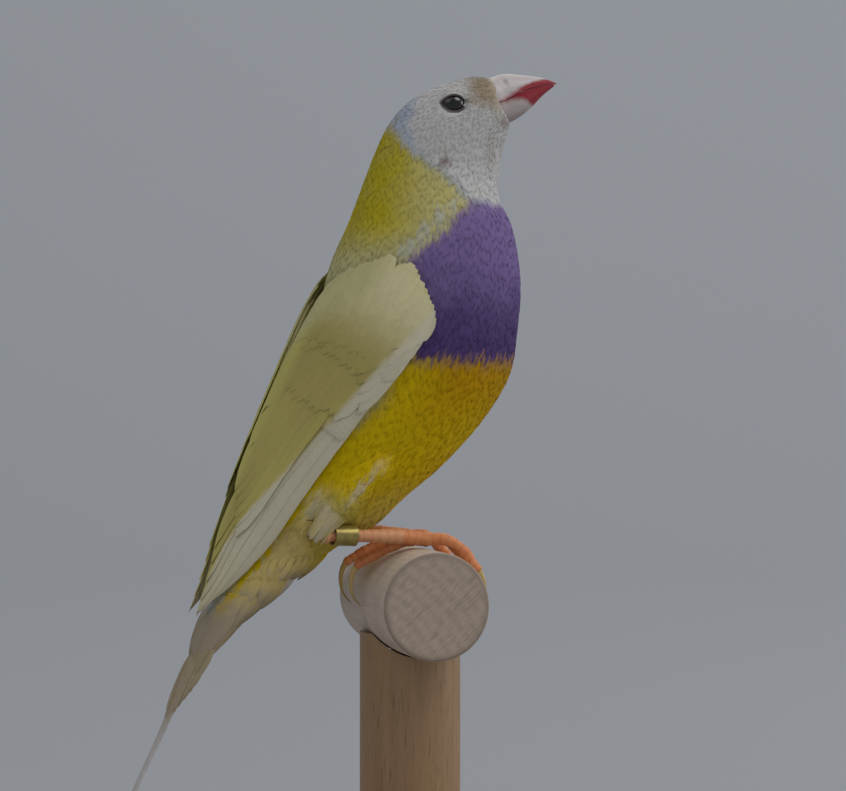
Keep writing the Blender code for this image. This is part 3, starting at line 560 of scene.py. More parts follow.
def perch_finish(stand):
    """Dowel: growth rings and rays on the cut ends, long faint grain on the side."""
    finish = Finish("perch_wood", 0.62, Specular_IOR_Level=0.35)
    place = finish.place()
    x, y, z = finish.parts(place)
    on_end = finish.attribute("end")
    rising = x + (z - PERCH_HEIGHT * MM)
    falling = x - (z - PERCH_HEIGHT * MM)
    wander = finish.noise(place, 90.0, 2.0)
    reach = ((rising + 0.022) * (rising + 0.022) + falling * falling * 0.5).power(0.5)
    band = (reach * 2300.0 + wander * 9.0).sine()
    fine = finish.noise(finish.joined(rising * 500.0, falling * 2300.0, y * 900.0), 1.0, 4.0)
    flecks = finish.noise(finish.joined(rising * 160.0, falling * 1700.0, y * 900.0), 1.0, 2.0)
    rim = finish.attribute("rim")
    dark, fleck, worn = (shades(stand.end_grain, (share,) * 3) for share in (0.62, 0.7, 0.55))
    cut = finish.mix((band * 0.13 + 0.22 + (fine - 0.5) * 1.5).kept(),
                     tuple(stand.end_grain), dark)
    cut = finish.mix(((flecks - 0.56) * 4.5).kept(), cut, fleck)
    cut = finish.mix((rim * 0.8).kept(), cut, worn)
    long_grain = finish.noise(finish.stretched(place, (1300.0, 60.0, 1300.0)), 1.0, 4.0)
    dirt = finish.noise(place, 160.0, 3.0)
    side = finish.mix((long_grain * 1.8 - 0.65).kept(), tuple(stand.perch_side),
                      shades(stand.perch_side, (0.8, 0.8, 0.8)))
    side = finish.mix((dirt * 3.0 - 1.5).kept(), side, DOWEL_DIRT)
    return finish.done(finish.mix(on_end, side, cut), 0.55 + long_grain * 0.2,
                       fine * on_end + long_grain * (1.0 - on_end), 0.06)


def beech_finish(name, colour, grain_scale, turn=(0.0, 0.0, 0.0)):
    """Oiled beech: soft long grain with short dark pores."""
    finish = Finish(name, 0.5, Coat_Weight=0.08, Coat_Roughness=0.4)
    place = finish.place()
    bands = finish.noise(finish.stretched(place, grain_scale, turn), 1.0, 4.0)
    pores = finish.noise(finish.stretched(place, tuple(8.0 * s for s in grain_scale), turn),
                         1.0, 2.0)
    pale = shades(colour, (1.22, 1.22, 1.22))
    dark = shades(colour, (0.72, 0.66, 0.6))
    tone = finish.mix((bands * 2.6 - 0.8).kept(), tuple(colour), pale)
    pore = ((pores - 0.60) * 9.0).kept()
    tone = finish.mix(pore * 0.75, tone, dark)
    return finish.done(tone, 0.42 + bands * 0.2, bands * 0.4 - pore, 0.05)


def backdrop_finish(stage):
    finish = Finish("plain_backdrop", 0.9, Specular_IOR_Level=0.0)
    finish.shader.inputs["Emission Strength"].default_value = BACKDROP_GLOW
    weave = finish.noise(finish.place(), 30.0, 2.0)
    colour = finish.mix(weave * 0.04, tuple(stage.backdrop), BACKDROP_WEAVE)
    # Painted light: the glowing colour is made lighter towards +X and towards the top, a painted
    # fall of light over the backdrop
    x, _, z = finish.parts(finish.place())
    colour = finish.scaled(colour, 0.94 + x * 0.12 + (z * 2.6).kept() * 0.15)
    finish.paint("Emission Color", colour)
    return finish.done(colour)


def curve(table, x):
    """Reads a smooth curve through (position, value) pairs at an array of positions."""
    xs = np.array([pair[0] for pair in table], float)
    ys = np.array([pair[1] for pair in table], float)
    x = np.clip(np.asarray(x, float), xs[0], xs[-1])
    i = np.clip(np.searchsorted(xs, x, side="right") - 1, 0, len(xs) - 2)
    low = np.maximum(np.arange(len(xs)) - 1, 0)
    high = np.minimum(np.arange(len(xs)) + 1, len(xs) - 1)
    slopes = (ys[high] - ys[low]) / (xs[high] - xs[low])
    span = xs[i + 1] - xs[i]
    t = (x - xs[i]) / span
    return (ys[i] * (1 + 2 * t) * (1 - t) ** 2 + slopes[i] * span * t * (1 - t) ** 2
            + ys[i + 1] * t * t * (3 - 2 * t) - slopes[i + 1] * span * t * t * (1 - t))


def circle(steps):
    """Evenly spaced angles once round."""
    return 2 * math.pi * np.arange(steps) / steps


def smooth_step(value):
    """Turns values below 0 into 0 and above 1 into 1, softly between."""
    share = np.clip(value, 0.0, 1.0)
    return share * share * (3 - 2 * share)


def unit(vectors):
    return vectors / np.maximum(np.linalg.norm(vectors, axis=-1, keepdims=True), 1e-9)


def uneven(points, size):
    """Uneven values between about -1 and 1 that change over a size in millimetres."""
    places = points / size
    waves = [((1.7, 2.3, 1.1), 1.3), ((-2.9, 1.3, 2.1), 0.4), ((0.7, -3.1, 3.7), 2.0),
             ((4.3, 2.9, -1.9), 5.1), ((-1.1, 5.3, 4.7), 3.3)]
    return sum(np.sin(places @ np.array(way) + start) for way, start in waves) / 3.0


def body_at(s, angle, out=0.0):
    """Points of the body at station s: angle 0 is the back, half a turn is the front."""
    s, angle = np.broadcast_arrays(np.asarray(s, float), np.asarray(angle, float))
    columns = [curve(list(enumerate(column)), s) for column in zip(*BODY_STATIONS)]
    back_x, back_z, front_x, front_z, width = columns
    half_x, half_z = (back_x - front_x) / 2, (back_z - front_z) / 2
    grown = 1 + out / np.hypot(half_x, half_z)
    up = np.sign(np.cos(angle)) * np.abs(np.cos(angle)) ** BODY_FULLNESS
    side = np.sign(np.sin(angle)) * np.abs(np.sin(angle)) ** BODY_FULLNESS
    return np.stack([(back_x + front_x) / 2 + half_x * grown * up,
                     (width + out) * side,
                     (back_z + front_z) / 2 + half_z * grown * up], axis=-1)


def ring_faces(rows, sides, closed=False):
    """Faces between neighbouring rings of points, and from the last to the first if closed."""
    faces = []
    for r in range(rows if closed else rows - 1):
        for k in range(sides):
            n, m = (k + 1) % sides, (r + 1) % rows
            faces.append((r * sides + k, r * sides + n, m * sides + n, m * sides + k))
    return faces


def hoop(rings):
    """A closed band through rings of points, of which the last joins the first."""
    rings = np.asarray(rings, float)
    return turned_out(rings.reshape(-1, 3), ring_faces(*rings.shape[:2], closed=True))


def tube(rings):
    """A closed tube through rings of points, with its ends closed to their middles."""
    rings = np.asarray(rings, float)
    rows, sides = rings.shape[:2]
    points = np.concatenate([rings.reshape(-1, 3), rings[0].mean(0)[None],
                             rings[-1].mean(0)[None]])
    faces = ring_faces(rows, sides)
    first, last = rows * sides, rows * sides + 1
    for k in range(sides):
        n = (k + 1) % sides
        faces.append((first, n, k))
        faces.append((last, (rows - 1) * sides + k, (rows - 1) * sides + n))
    return turned_out(points, faces)


def turned_out(points, faces):
    """Turns the faces of a closed shell so that they point outwards."""
    volume = 0.0
    for face in faces:
        for k in range(1, len(face) - 1):
            a, b, c = points[face[0]], points[face[k]], points[face[k + 1]]
            volume += (a[0] * (b[1] * c[2] - b[2] * c[1]) + a[1] * (b[2] * c[0] - b[0] * c[2])
                       + a[2] * (b[0] * c[1] - b[1] * c[0]))
    return points, faces if volume > 0 else [tuple(reversed(face)) for face in faces]


def rod(path, radii, sides=16, squash=1.0):
    """A closed rod of changing radius along a path of points."""
    path = np.asarray(path, float)
    ahead = unit(np.gradient(path, axis=0))
    across = unit(np.cross(ahead, [0.0, 1.0, 0.0]))
    other = np.cross(ahead, across)
    turns = circle(sides)
    radii = np.broadcast_to(np.asarray(radii, float).reshape(len(path), -1), (len(path), sides))
    rings = (path[:, None] + radii[..., None] * (np.cos(turns)[None, :, None] * across[:, None]
             + squash * np.sin(turns)[None, :, None] * other[:, None]))
    return tube(rings)


def gather(shapes):
    """Joins shells, given as (points, faces, attributes), into one set of arrays."""
    points, faces, attributes, count = [], [], {}, 0
    for shape in shapes:
        points.append(np.asarray(shape[0], float))
        faces += [tuple(index + count for index in face) for face in shape[1]]
        count += len(shape[0])
        for name, values in (shape[2] if len(shape) > 2 else {}).items():
            attributes.setdefault(name, []).append(np.asarray(values, float))
    joined = {name: np.concatenate(values) for name, values in attributes.items()}
    return np.concatenate(points), faces, joined


def link(made):
    bpy.context.scene.collection.objects.link(made)
    return made


def add_attribute(mesh, name, values):
    values = np.asarray(values, float)
    if values.ndim == 1:
        mesh.attributes.new(name, "FLOAT", "POINT").data.foreach_set("value", values)
    elif name == "marking":
        rgba = np.concatenate([values, np.ones((len(values), 1))], axis=1)
        mesh.attributes.new(name, "FLOAT_COLOR", "POINT").data.foreach_set("color", rgba.ravel())
    else:
        mesh.attributes.new(name, "FLOAT_VECTOR", "POINT").data.foreach_set(
            "vector", values.ravel())


def add_piece(name, points, faces, material, attributes=None, sharp=180.0):
    """A mesh object from points in millimetres, measured from the perch's axis."""
    mesh = bpy.data.meshes.new(name)
    placed = (np.asarray(points, float) + (0.0, 0.0, PERCH_HEIGHT)) * MM
    mesh.from_pydata(placed.tolist(), [], faces)
    for label, values in (attributes or {}).items():
        add_attribute(mesh, label, values)
    if material:
        mesh.materials.append(material)
    mesh.shade_smooth()
    if sharp < 180.0:
        mesh.set_sharp_from_angle(angle=math.radians(sharp))
    return link(bpy.data.objects.new(name, mesh))


def vertex_places(mesh):
    """Points of a mesh in millimetres, measured from the perch's axis."""
    places = np.empty(len(mesh.vertices) * 3)
    mesh.vertices.foreach_get("co", places)
    return places.reshape(-1, 3) / MM - (0.0, 0.0, PERCH_HEIGHT)


def baked(obj, name):
    """Replaces an object by the plain mesh that its modifiers make."""
    graph = bpy.context.evaluated_depsgraph_get()
    mesh = bpy.data.meshes.new_from_object(obj.evaluated_get(graph), depsgraph=graph)
    bpy.data.objects.remove(obj, do_unlink=True)
    made = bpy.data.objects.new(name, mesh)
    mesh.name = name
    return link(made)


def finish_piece(piece, slot, *nodes):
    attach(piece, "root")
    if nodes:
        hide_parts(*nodes)


def leg_ends(side):
    """Ankle and lower end of the bare leg on one side, -1 right and 1 left."""
    return (np.array([ANKLE[0], side * ANKLE[1], ANKLE[2]]),
            np.array([TARSUS_END[0], side * FOOT_SIDE, TARSUS_END[1]]))


def body_marking(points, front):
    """Colour of the bird's coat at points; front is 1 on the belly side and 0 on the back."""
    coat = bpy.context.scene.finch.coat
    x, y, z = points[:, 0], np.abs(points[:, 1]), points[:, 2]
    rough = uneven(points, 1.3)
    broad = uneven(points, 5.0)
    colours = np.tile(np.array(coat.mantle), (len(points), 1))

    def lay(colour, share):
        colours[:] += (np.array(colour) - colours) * np.clip(share, 0, 1)[:, None]

    def spot(x_spot, z_spot, width, height, edge=1.35):
        return smooth_step(edge - np.hypot((x - x_spot) / width, (z - z_spot) / height)
                           + rough * 0.12)

    mask_x = curve(MASK_EDGE, z)
    behind = mask_x - x
    on_nape = smooth_step((11.5 - behind - 0.2 * (84.0 - z)) / 9.0) * smooth_step((z - 54.0) / 8.0)
    back_share = smooth_step((0.42 - front) / 0.34)
    lay(coat.nape, smooth_step((z - 54.0) / 9.0) * (0.35 + 0.65 * back_share + 0.1 * broad))
    lay(coat.mantle, 0.25 * on_nape * (1 - back_share))
    lay(coat.rump, smooth_step((26.0 - z) / 10.0) * smooth_step((0.34 - front) / 0.2))
    lower = 0.22 * smooth_step((34.0 - z) / 12.0)
    belly_zone = smooth_step((front - 0.30 + lower) / 0.14) * smooth_step((54.0 - z) / 3.0)
    lay(coat.flank, belly_zone)
    lay(coat.belly, belly_zone * smooth_step((front - 0.42) / 0.2 + broad * 0.2))
    lay(coat.belly_high, belly_zone * smooth_step((z - 26.0) / 12.0)
        * smooth_step((front - 0.4) / 0.3))
    across = np.array([STREAK[0][1] - STREAK[1][1], STREAK[1][0] - STREAK[0][0]])
    across = across / np.hypot(*across)
    off_streak = ((x - STREAK[0][0]) * across[0] + (z - STREAK[0][1]) * across[1]
                  + rough * 0.35)
    along_streak = (STREAK[0][1] - z) / (STREAK[0][1] - STREAK[1][1])
    lay(coat.leg_side, belly_zone * smooth_step(off_streak / 2.0) * (y > 4)
        * smooth_step((21.0 - z + broad) / 8.0) * smooth_step((6.0 - x) / 10.0))
    lay(coat.vent, 0.5 * smooth_step(1.3 - np.abs(off_streak) / (0.45 + 0.45 * along_streak))
        * smooth_step((along_streak + 0.2 * broad) / 0.5) * smooth_step((1.35 - along_streak) / 0.2)
        * (y > 4) * belly_zone)
    fluff = spot(-15.2, 15.6, 4.6, 4.2, 1.25)
    lay(coat.leg_side, 0.8 * fluff * (front > 0.3))
    lay(coat.vent, 0.6 * fluff * smooth_step((-14.0 - x) / 4.0) * (front > 0.3))
    under = smooth_step((-16.5 - x + broad) / 3.0) * smooth_step((15.5 - z) / 4.0)
    lay(coat.undertail, under * (front > 0.3))
    lay(coat.lore_and_throat_shade, 0.35 * spot(-21.6, 12.7, 2.2, 1.6) * (front > 0.3))
    lay(coat.vent, under * smooth_step((front - 0.82) / 0.1))
    breast_rear = curve(BREAST_REAR, z)
    breast_low = BREAST_LOW + 0.3 * uneven(points * (1, 1, 0), 2.2) + rough * 0.3
    breast = (smooth_step((x - breast_rear + rough * 0.8) / 1.6)
              * smooth_step((z - breast_low) / 1.1) * (z < 67)
              * smooth_step((front - 0.25) / 0.08))
    # Painted shade: the purple is made darker downwards, on the lower breast that faces away from
    # the light
    low_shade_share = smooth_step((58.0 - z + broad * 2.0) / 16.0)
    purple = (np.array(coat.breast) * (1 - low_shade_share[:, None])
              + np.array(coat.breast_low) * low_shade_share[:, None])
    colours += (purple - colours) * breast[:, None]
    pale_edge = smooth_step(1.0 - np.abs(x - breast_rear + 1.6 + rough) / 1.6)
    lay(coat.nape_band, 0.55 * pale_edge * (z > 54) * (z < 66) * (front > 0.25))
    band_width = 1.6 + 2.6 * smooth_step((z - 76.0) / 3.5)
    lay(coat.nape_band, smooth_step(1.3 - behind / band_width + rough * 0.3) * (behind > -1.5)
        * (z > 63))
    # Painted shade: a grey-green line in the crease behind the cheek, where shade falls between
    # cheek and neck
    shaded_fold = smooth_step(1.2 - np.abs(behind - 0.7) / 0.9) * smooth_step((73.5 - z) / 2.0)
    lay(coat.shaded_fold, 0.8 * shaded_fold * smooth_step((z - 65.0) / 1.2) * (y > 3))
    lay(coat.mask, smooth_step((0.2 - behind + rough * 0.45) / 0.8) * (z > 64))
    lay(coat.lore_and_throat_shade, 0.82 * spot(11.6, 83.3, 2.7, 2.8, 1.5))
    lay(coat.lore_and_throat_shade, 0.5 * spot(8.9, 81.4, 1.2, 0.7))
    lay(coat.lore_and_throat_shade, 0.35 * spot(13.6, 80.2, 1.5, 3.2))
    lay(coat.ear_spot, 0.5 * spot(15.0, 78.0, 1.2, 0.9))
    # Painted shade: a soft vertical line of shade down the throat below the bill, in the lore's
    # beige-brown
    lay(coat.lore_and_throat_shade, 0.28 * spot(12.4, 73.4, 1.3, 3.8) + 0.2 * spot(14.8, 74.5, 0.6, 3.0))
    # The crease's grey green laid over the lower head: an uneven mottle, with painted shade that
    # deepens below eye level
    lay(coat.shaded_fold, 0.16 * smooth_step(broad) * smooth_step((80.0 - z) / 6.0) * (z > 64))
    lay(coat.lore_and_throat_shade, 0.2 * spot(3.2, 73.4, 3.0, 0.8) * (y > 4))
    lay(coat.ear_spot, spot(4.0, 71.5, 1.1, 0.6) * (y > 4))
    return np.clip(colours * (1 + 0.04 * broad[:, None]), 0.003, 0.95)


def make_skin():
    """One closed skin for head, neck, body, rump and thighs, inside them by the coat."""
    turns = circle(56)
    rows = np.linspace(0.0, LAST_STATION, 150)
    shapes = [tube(body_at(rows[:, None], turns[None, :], -COAT_DEPTH))]
    cutters = []
    for side in (-1, 1):
        ankle, foot = leg_ends(side)
        path = np.array([ankle + np.array(step) * (1, side, 1) for step, _ in THIGH])
        radii = np.array([radius for _, radius in THIGH]) - COAT_DEPTH
        shares, fine = np.linspace(0, 1, len(path)), np.linspace(0, 1, 16)
        path = np.stack([curve(list(zip(shares, column)), fine) for column in path.T], axis=1)
        shapes.append(rod(path, curve(list(zip(shares, radii)), fine), 20))
        cutters.append(rod([ankle + (ankle - foot) * 0.12, ankle, foot], [1.6, 2.05, 2.05], 16))
    holder = add_piece("skin_start", *shapes[0], None)
    groups = []
    for label, members in (("UNION", shapes[1:]), ("DIFFERENCE", cutters)):
        group = bpy.data.collections.new("skin_" + label.lower())
        for points, faces in members:
            extra = add_piece("skin_extra", points, faces, None)
            bpy.context.scene.collection.objects.unlink(extra)
            group.objects.link(extra)
        step = holder.modifiers.new(label, "BOOLEAN")
        step.operand_type, step.collection = "COLLECTION", group
        step.operation, step.solver = label, "EXACT"
        groups.append(group)
    remesh = holder.modifiers.new("Remesh", "REMESH")
    remesh.mode, remesh.voxel_size = "VOXEL", SKIN_VOXEL * MM
    calm = holder.modifiers.new("Smooth", "SMOOTH")
    calm.factor, calm.iterations = 0.5, 3
    bpy.context.view_layer.update()
    skin = baked(holder, "skin")
    for group in groups:
        for extra in list(group.objects):
            bpy.data.objects.remove(extra, do_unlink=True)
        bpy.data.collections.remove(group)
    return skin


def bill_margin(places):
    """Places along the bill, over its axis, and how far each lies past the feathers' edge."""
    c, s = math.cos(BILL_RISE), math.sin(BILL_RISE)
    ahead, up = places[:, 0] - BILL_BASE[0], places[:, 2] - BILL_BASE[1]
    f, g = ahead * c + up * s, up * c - ahead * s
    past = np.where(np.abs(g) < 4.6, f - curve(BILL_MARGIN, g), -1.0)
    return f, g, past


def eye_reach(x, z):
    """Distance from the middle of the eye, evened so that the lids' outer edge is round."""
    return np.hypot(x - EYE_CENTRE[0], (z - EYE_CENTRE[2]) * EYE_STRETCH)


def sink_skin(skin):
    """Lowers the skin inside the lids and under the horn of the bill."""
    places = vertex_places(skin.data)
    x, y, z = places.T
    reach = np.hypot(x - EYE_CENTRE[0], z - EYE_CENTRE[2])
    ball = EYE_CENTRE[1] + np.sqrt(np.maximum(EYE_RADIUS ** 2 - reach ** 2, 0.0))
    room = smooth_step((2.22 - eye_reach(x, z)) / 0.35)
    lowered = np.minimum(np.abs(y), ball - 0.35)
    y_new = np.sign(y) * (np.abs(y) * (1 - room) + lowered * room)
    places[:, 1] = np.where(np.abs(y) > 3.0, y_new, y)
    f, g, past = bill_margin(places)
    edge = curve(TOMIUM, f)
    far = np.where(g > edge, curve(CULMEN, f), curve(GONYS, f))
    rise = np.clip((g - edge) / (far - edge), 0, None)
    inside = np.sqrt((places[:, 1] / curve(BILL_HALF_WIDTH, f)) ** 2 + rise ** 2.35)
    tight = np.where(past > 0.02, np.minimum(1.0, 0.90 / np.maximum(inside, 0.01)), 1.0)
    g = edge + (g - edge) * tight
    inner = bill_at(f, g, places[:, 1] * tight)
    places = np.where((past > 0.02)[:, None], inner, places)
    placed = (places + (0.0, 0.0, PERCH_HEIGHT)) * MM
    skin.data.vertices.foreach_set("co", placed.ravel())
    skin.data.update()


def chart_skin(skin):
    """Gives the skin its lie, unwrap, marking and feather size at every vertex."""
    places = vertex_places(skin.data)
    stations = np.linspace(0.0, LAST_STATION, 230)
    turns = circle(96)
    s_grid, t_grid = np.meshgrid(stations, turns, indexing="ij")
    grid = body_at(s_grid, t_grid, -COAT_DEPTH).reshape(-1, 3)
    tree = KDTree(len(grid))
    for index, point in enumerate(grid):
        tree.insert(point, index)
    tree.balance()
    found = [tree.find(point) for point in places]
    nearest = np.array([hit[1] for hit in found])
    away = np.array([hit[2] for hit in found])
    s, turn = s_grid.ravel()[nearest], t_grid.ravel()[nearest]
    lie = unit(body_at(np.minimum(s + 0.3, LAST_STATION), turn)
               - body_at(np.maximum(s - 0.3, 0.0), turn))
    front = (1 - np.cos(turn)) / 2
    lie[:, 1] += np.sign(places[:, 1]) * 0.25 * (front > 0.5) * (places[:, 2] > 25)
    on_thigh = (away > 0.75) & (places[:, 2] < 28)
    ankle = np.array(ANKLE)
    down = ankle - (places * (1, 0, 1) + (0, ankle[1], 0))
    lie = np.where(on_thigh[:, None], unit(down), unit(lie))
    size = curve(FEATHER_SIZE, s)
    from_eye = eye_reach(places[:, 0], places[:, 2])
    near_eye = smooth_step((4.2 - from_eye) / 2.5) * (np.abs(places[:, 1]) > 3)
    size = size * (1 - 0.35 * near_eye) * np.where(on_thigh, 0.75, 1.0)
    add_attribute(skin.data, "lie", lie)
    add_attribute(skin.data, "unwrap", np.stack([s / 19.5 + 0.01, turn / (2 * math.pi),
                                                 np.zeros(len(s))], axis=1))
    add_attribute(skin.data, "marking", body_marking(places, front))
    add_attribute(skin.data, "tip_marking", body_marking(places + lie * size[:, None], front))
    add_attribute(skin.data, "size", size)
    add_attribute(skin.data, "station", s)
    add_attribute(skin.data, "front", front)
    add_attribute(skin.data, "thigh", on_thigh.astype(float))
    past = bill_margin(places)[2]
    bare = ((from_eye < 2.12) & (np.abs(places[:, 1]) > 3)) | (past > -0.05)
    folded = places.copy()
    folded[:, 1] = np.abs(folded[:, 1])
    bare |= np.linalg.norm(folded - ankle, axis=1) < 2.7
    add_attribute(skin.data, "bare", bare.astype(float))


def read_attribute(mesh, name, width=1):
    values = np.empty(len(mesh.attributes[name].data) * width)
    label = {1: "value", 3: "vector", 4: "color"}[width]
    mesh.attributes[name].data.foreach_get(label, values)
    return values if width == 1 else values.reshape(-1, width)


def corner_points(mesh):
    """Number of the point at every corner of a mesh's faces."""
    corners = np.empty(len(mesh.loops), int)
    mesh.loops.foreach_get("vertex_index", corners)
    return corners


def set_bake_map(mesh, roots, vane):
    """Unwraps each feather to a small patch at its root's place on the map."""
    layer = mesh.uv_layers.new(name="OFBake")
    layer.data.foreach_set("uv", (roots + vane * BAKE_PATCH).ravel())


def vane_places(u, v):
    """Places on a vane: u across it from edge to edge, v along it from root to tip."""
    return np.stack(np.broadcast_arrays(u, v, 0.0), axis=-1)


def vane_pattern():
    """The small feather that the coat repeats: a thin closed leaf parted into strands."""
    outline = [(0.0, 0.0), (0.5, 0.10), (0.9, 0.36), (1.0, 0.70), (0.66, 0.64), (0.52, 0.95),
               (0.26, 0.72), (0.04, 1.0), (-0.20, 0.70), (-0.46, 0.93), (-0.62, 0.62),
               (-0.98, 0.66), (-0.86, 0.34), (-0.5, 0.10)]
    ridge = [(0.0, 0.25), (0.0, 0.45), (0.0, 0.42)]
    points = [(u * 0.5, v, 0.0) for u, v in outline + ridge]
    count = len(outline)
    low, high, below = count, count + 1, count + 2
    faces = []
    for k in range(count):
        n = (k + 1) % count
        a, b = (high if outline[index][1] > 0.45 else low for index in (k, n))
        faces.append((k, n, b))
        faces.append((n, k, below))
        if a != b:
            faces.append((k, b, a))
    mesh = bpy.data.meshes.new("small_feather")
    mesh.from_pydata(points, [], faces)
    vane = np.array([(2 * x, y, 0.0) for x, y, _ in points])
    height = np.array([v ** 0.8 * (1.0 - 0.25 * abs(u)) for u, v in outline]
                      + [0.58, 0.78, 0.30])
    add_attribute(mesh, "vane", vane)
    add_attribute(mesh, "height", height)
    return bpy.data.objects.new("small_feather", mesh)


def coat_tree():
    """Node tree that strews small feathers over a stretch of skin and settles them on it."""
    tree = bpy.data.node_groups.new("Small feathers", "GeometryNodeTree")
    face = tree.interface
    face.new_socket("Geometry", in_out="INPUT", socket_type="NodeSocketGeometry")
    for label, kind in (("Skin", "Object"), ("Feather", "Object"), ("Spacing", "Float"),
                        ("Length", "Float"), ("Width", "Float"), ("Lift", "Float"),
                        ("Seed", "Int"), ("Finish", "Material")):
        face.new_socket(label, in_out="INPUT", socket_type="NodeSocket" + kind)
    face.new_socket("Geometry", in_out="OUTPUT", socket_type="NodeSocketGeometry")

    def add(kind, settings=None, sockets=None):
        node = tree.nodes.new(kind)
        for label, value in (settings or {}).items():
            setattr(node, label, value)
        for label, value in (sockets or {}).items():
            if isinstance(value, bpy.types.NodeSocket):
                tree.links.new(value, node.inputs[label])
            else:
                node.inputs[label].default_value = value
        return node

    def named(label, kind="FLOAT"):
        return add("GeometryNodeInputNamedAttribute", {"data_type": kind}, {"Name": label})

    def maths(operation, first, second):
        return add("ShaderNodeMath", {"operation": operation}, {0: first, 1: second}).outputs[0]

    given = add("NodeGroupInput").outputs
    skin = add("GeometryNodeObjectInfo", None, {"Object": given["Skin"]}).outputs["Geometry"]
    feather = add("GeometryNodeObjectInfo", None, {"Object": given["Feather"]})
    strewn = add("GeometryNodeDistributePointsOnFaces", {"distribute_method": "POISSON"},
                 {"Mesh": given["Geometry"], "Distance Min": given["Spacing"],
                  "Density Max": COAT_DENSITY, "Seed": given["Seed"]})
    jitter = add("FunctionNodeRandomValue", {"data_type": "FLOAT_VECTOR"},
                 {"Min": tuple(-turn for turn in LIE_JITTER), "Max": LIE_JITTER,
                  "Seed": given["Seed"]}).outputs[0]
    lie = add("ShaderNodeVectorMath", {"operation": "ADD"},
              {0: named("lie", "FLOAT_VECTOR").outputs[0], 1: jitter}).outputs[0]
    upright = add("FunctionNodeAlignRotationToVector", {"axis": "Z"},
                  {"Vector": strewn.outputs["Normal"]}).outputs[0]
    laid = add("FunctionNodeAlignRotationToVector", {"axis": "Y", "pivot_axis": "Z"},
               {"Rotation": upright, "Vector": lie}).outputs[0]
    grown = add("FunctionNodeRandomValue", {"data_type": "FLOAT"},
                {"Min": 0.8, "Max": 1.25, "Seed": maths("ADD", given["Seed"], 1.0)}).outputs[1]
    size = maths("MULTIPLY", grown, named("size").outputs[0])
    scale = add("ShaderNodeCombineXYZ", None,
                {"X": maths("MULTIPLY", size, given["Width"]),
                 "Y": maths("MULTIPLY", size, given["Length"]), "Z": 1.0}).outputs[0]
    placed = add("GeometryNodeInstanceOnPoints", None,
                 {"Points": strewn.outputs["Points"], "Instance": feather.outputs["Geometry"],
                  "Rotation": laid, "Scale": scale}).outputs[0]
    shade = add("FunctionNodeRandomValue", {"data_type": "FLOAT"},
                {"Seed": maths("ADD", given["Seed"], 2.0)}).outputs[1]
    shaded = add("GeometryNodeStoreNamedAttribute", {"data_type": "FLOAT", "domain": "INSTANCE"},
                 {"Geometry": placed, "Name": "shade", "Value": shade}).outputs[0]
    real = add("GeometryNodeRealizeInstances", None, {"Geometry": shaded}).outputs[0]
    spot, out = (add("GeometryNodeSampleNearestSurface", {"data_type": "FLOAT_VECTOR"},
                     {"Mesh": skin, "Value": add("GeometryNodeInput" + label).outputs[0]}
                     ).outputs[0] for label in ("Position", "Normal"))
    out = add("ShaderNodeVectorMath", {"operation": "NORMALIZE"}, {0: out}).outputs[0]
    uneven_lift = maths("ADD", maths("MULTIPLY", named("shade").outputs[0], 0.35), 0.75)
    height = maths("MULTIPLY", maths("MULTIPLY", named("height").outputs[0], given["Lift"]),
                   uneven_lift)
    by_size = maths("ADD", maths("MULTIPLY", named("size").outputs[0], 0.3), 0.45)
    height = maths("SUBTRACT", maths("MULTIPLY", height, by_size), 0.04 * MM)
    offset = add("ShaderNodeVectorMath", {"operation": "SCALE"}, {0: out, "Scale": height})
    settled = add("GeometryNodeSetPosition", None,
                  {"Geometry": real, "Position": spot, "Offset": offset.outputs[0]}).outputs[0]
    kept = add("GeometryNodeStoreNamedAttribute",
               {"data_type": "FLOAT_VECTOR", "domain": "POINT"},
               {"Geometry": settled, "Name": "skin_normal", "Value": out}).outputs[0]
    dressed = add("GeometryNodeSetMaterial", None,
                  {"Geometry": kept, "Material": given["Finish"]}).outputs[0]
    tree.links.new(dressed, add("NodeGroupOutput").inputs[0])
    return tree


def set_inputs(step, tree, values):
    """Sets a node modifier's inputs by their sockets' identifiers."""
    for item in tree.interface.items_tree:
        if item.item_type == "SOCKET" and item.in_out == "INPUT" and item.name in values:
            step[item.identifier] = values[item.name]


def skin_stretch(skin, chosen):
    """A copy of part of the skin, for the coat that grows on it."""
    mesh = skin.data
    corners = corner_points(mesh)
    starts, totals = np.empty((2, len(mesh.polygons)), int)
    mesh.polygons.foreach_get("loop_start", starts)
    mesh.polygons.foreach_get("loop_total", totals)
    faces = [tuple(corners[a:a + n]) for a, n in zip(starts, totals) if chosen[corners[a]]]
    used, renumbered = np.unique(np.concatenate([np.array(f) for f in faces]),
                                 return_inverse=True)
    packed, at = [], 0
    for face in faces:
        packed.append(tuple(renumbered[at:at + len(face)].tolist()))
        at += len(face)
    attributes = {name: read_attribute(mesh, name, width)[used]
                  for name, width in (("lie", 3), ("unwrap", 3), ("size", 1))}
    attributes["root_marking"] = read_attribute(mesh, "marking", 4)[used, :3]
    attributes["marking"] = read_attribute(mesh, "tip_marking", 3)[used]
    return add_piece("stretch", vertex_places(mesh)[used], packed, None, attributes)


def soften_normals(mesh, share):
    """Turns the shading of small feathers towards that of the skin below them."""
    own = np.empty(len(mesh.vertices) * 3)
    mesh.vertex_normals.foreach_get("vector", own)
    below = read_attribute(mesh, "skin_normal", 3)
    mixed = unit(unit(below) * share + own.reshape(-1, 3) * (1 - share))
    mesh.shade_smooth()
    mesh.normals_split_custom_set_from_vertices(mixed.tolist())


def blend_markings(mesh):
    """Colours each small feather from its root's place on the skin to its tip's."""
    share = smooth_step(read_attribute(mesh, "vane", 3)[:, 1:2] / 0.9)
    tip = read_attribute(mesh, "marking", 4)
    root = read_attribute(mesh, "root_marking", 3)
    tip[:, :3] = root + (tip[:, :3] - root) * share
    mesh.attributes["marking"].data.foreach_set("color", tip.ravel())


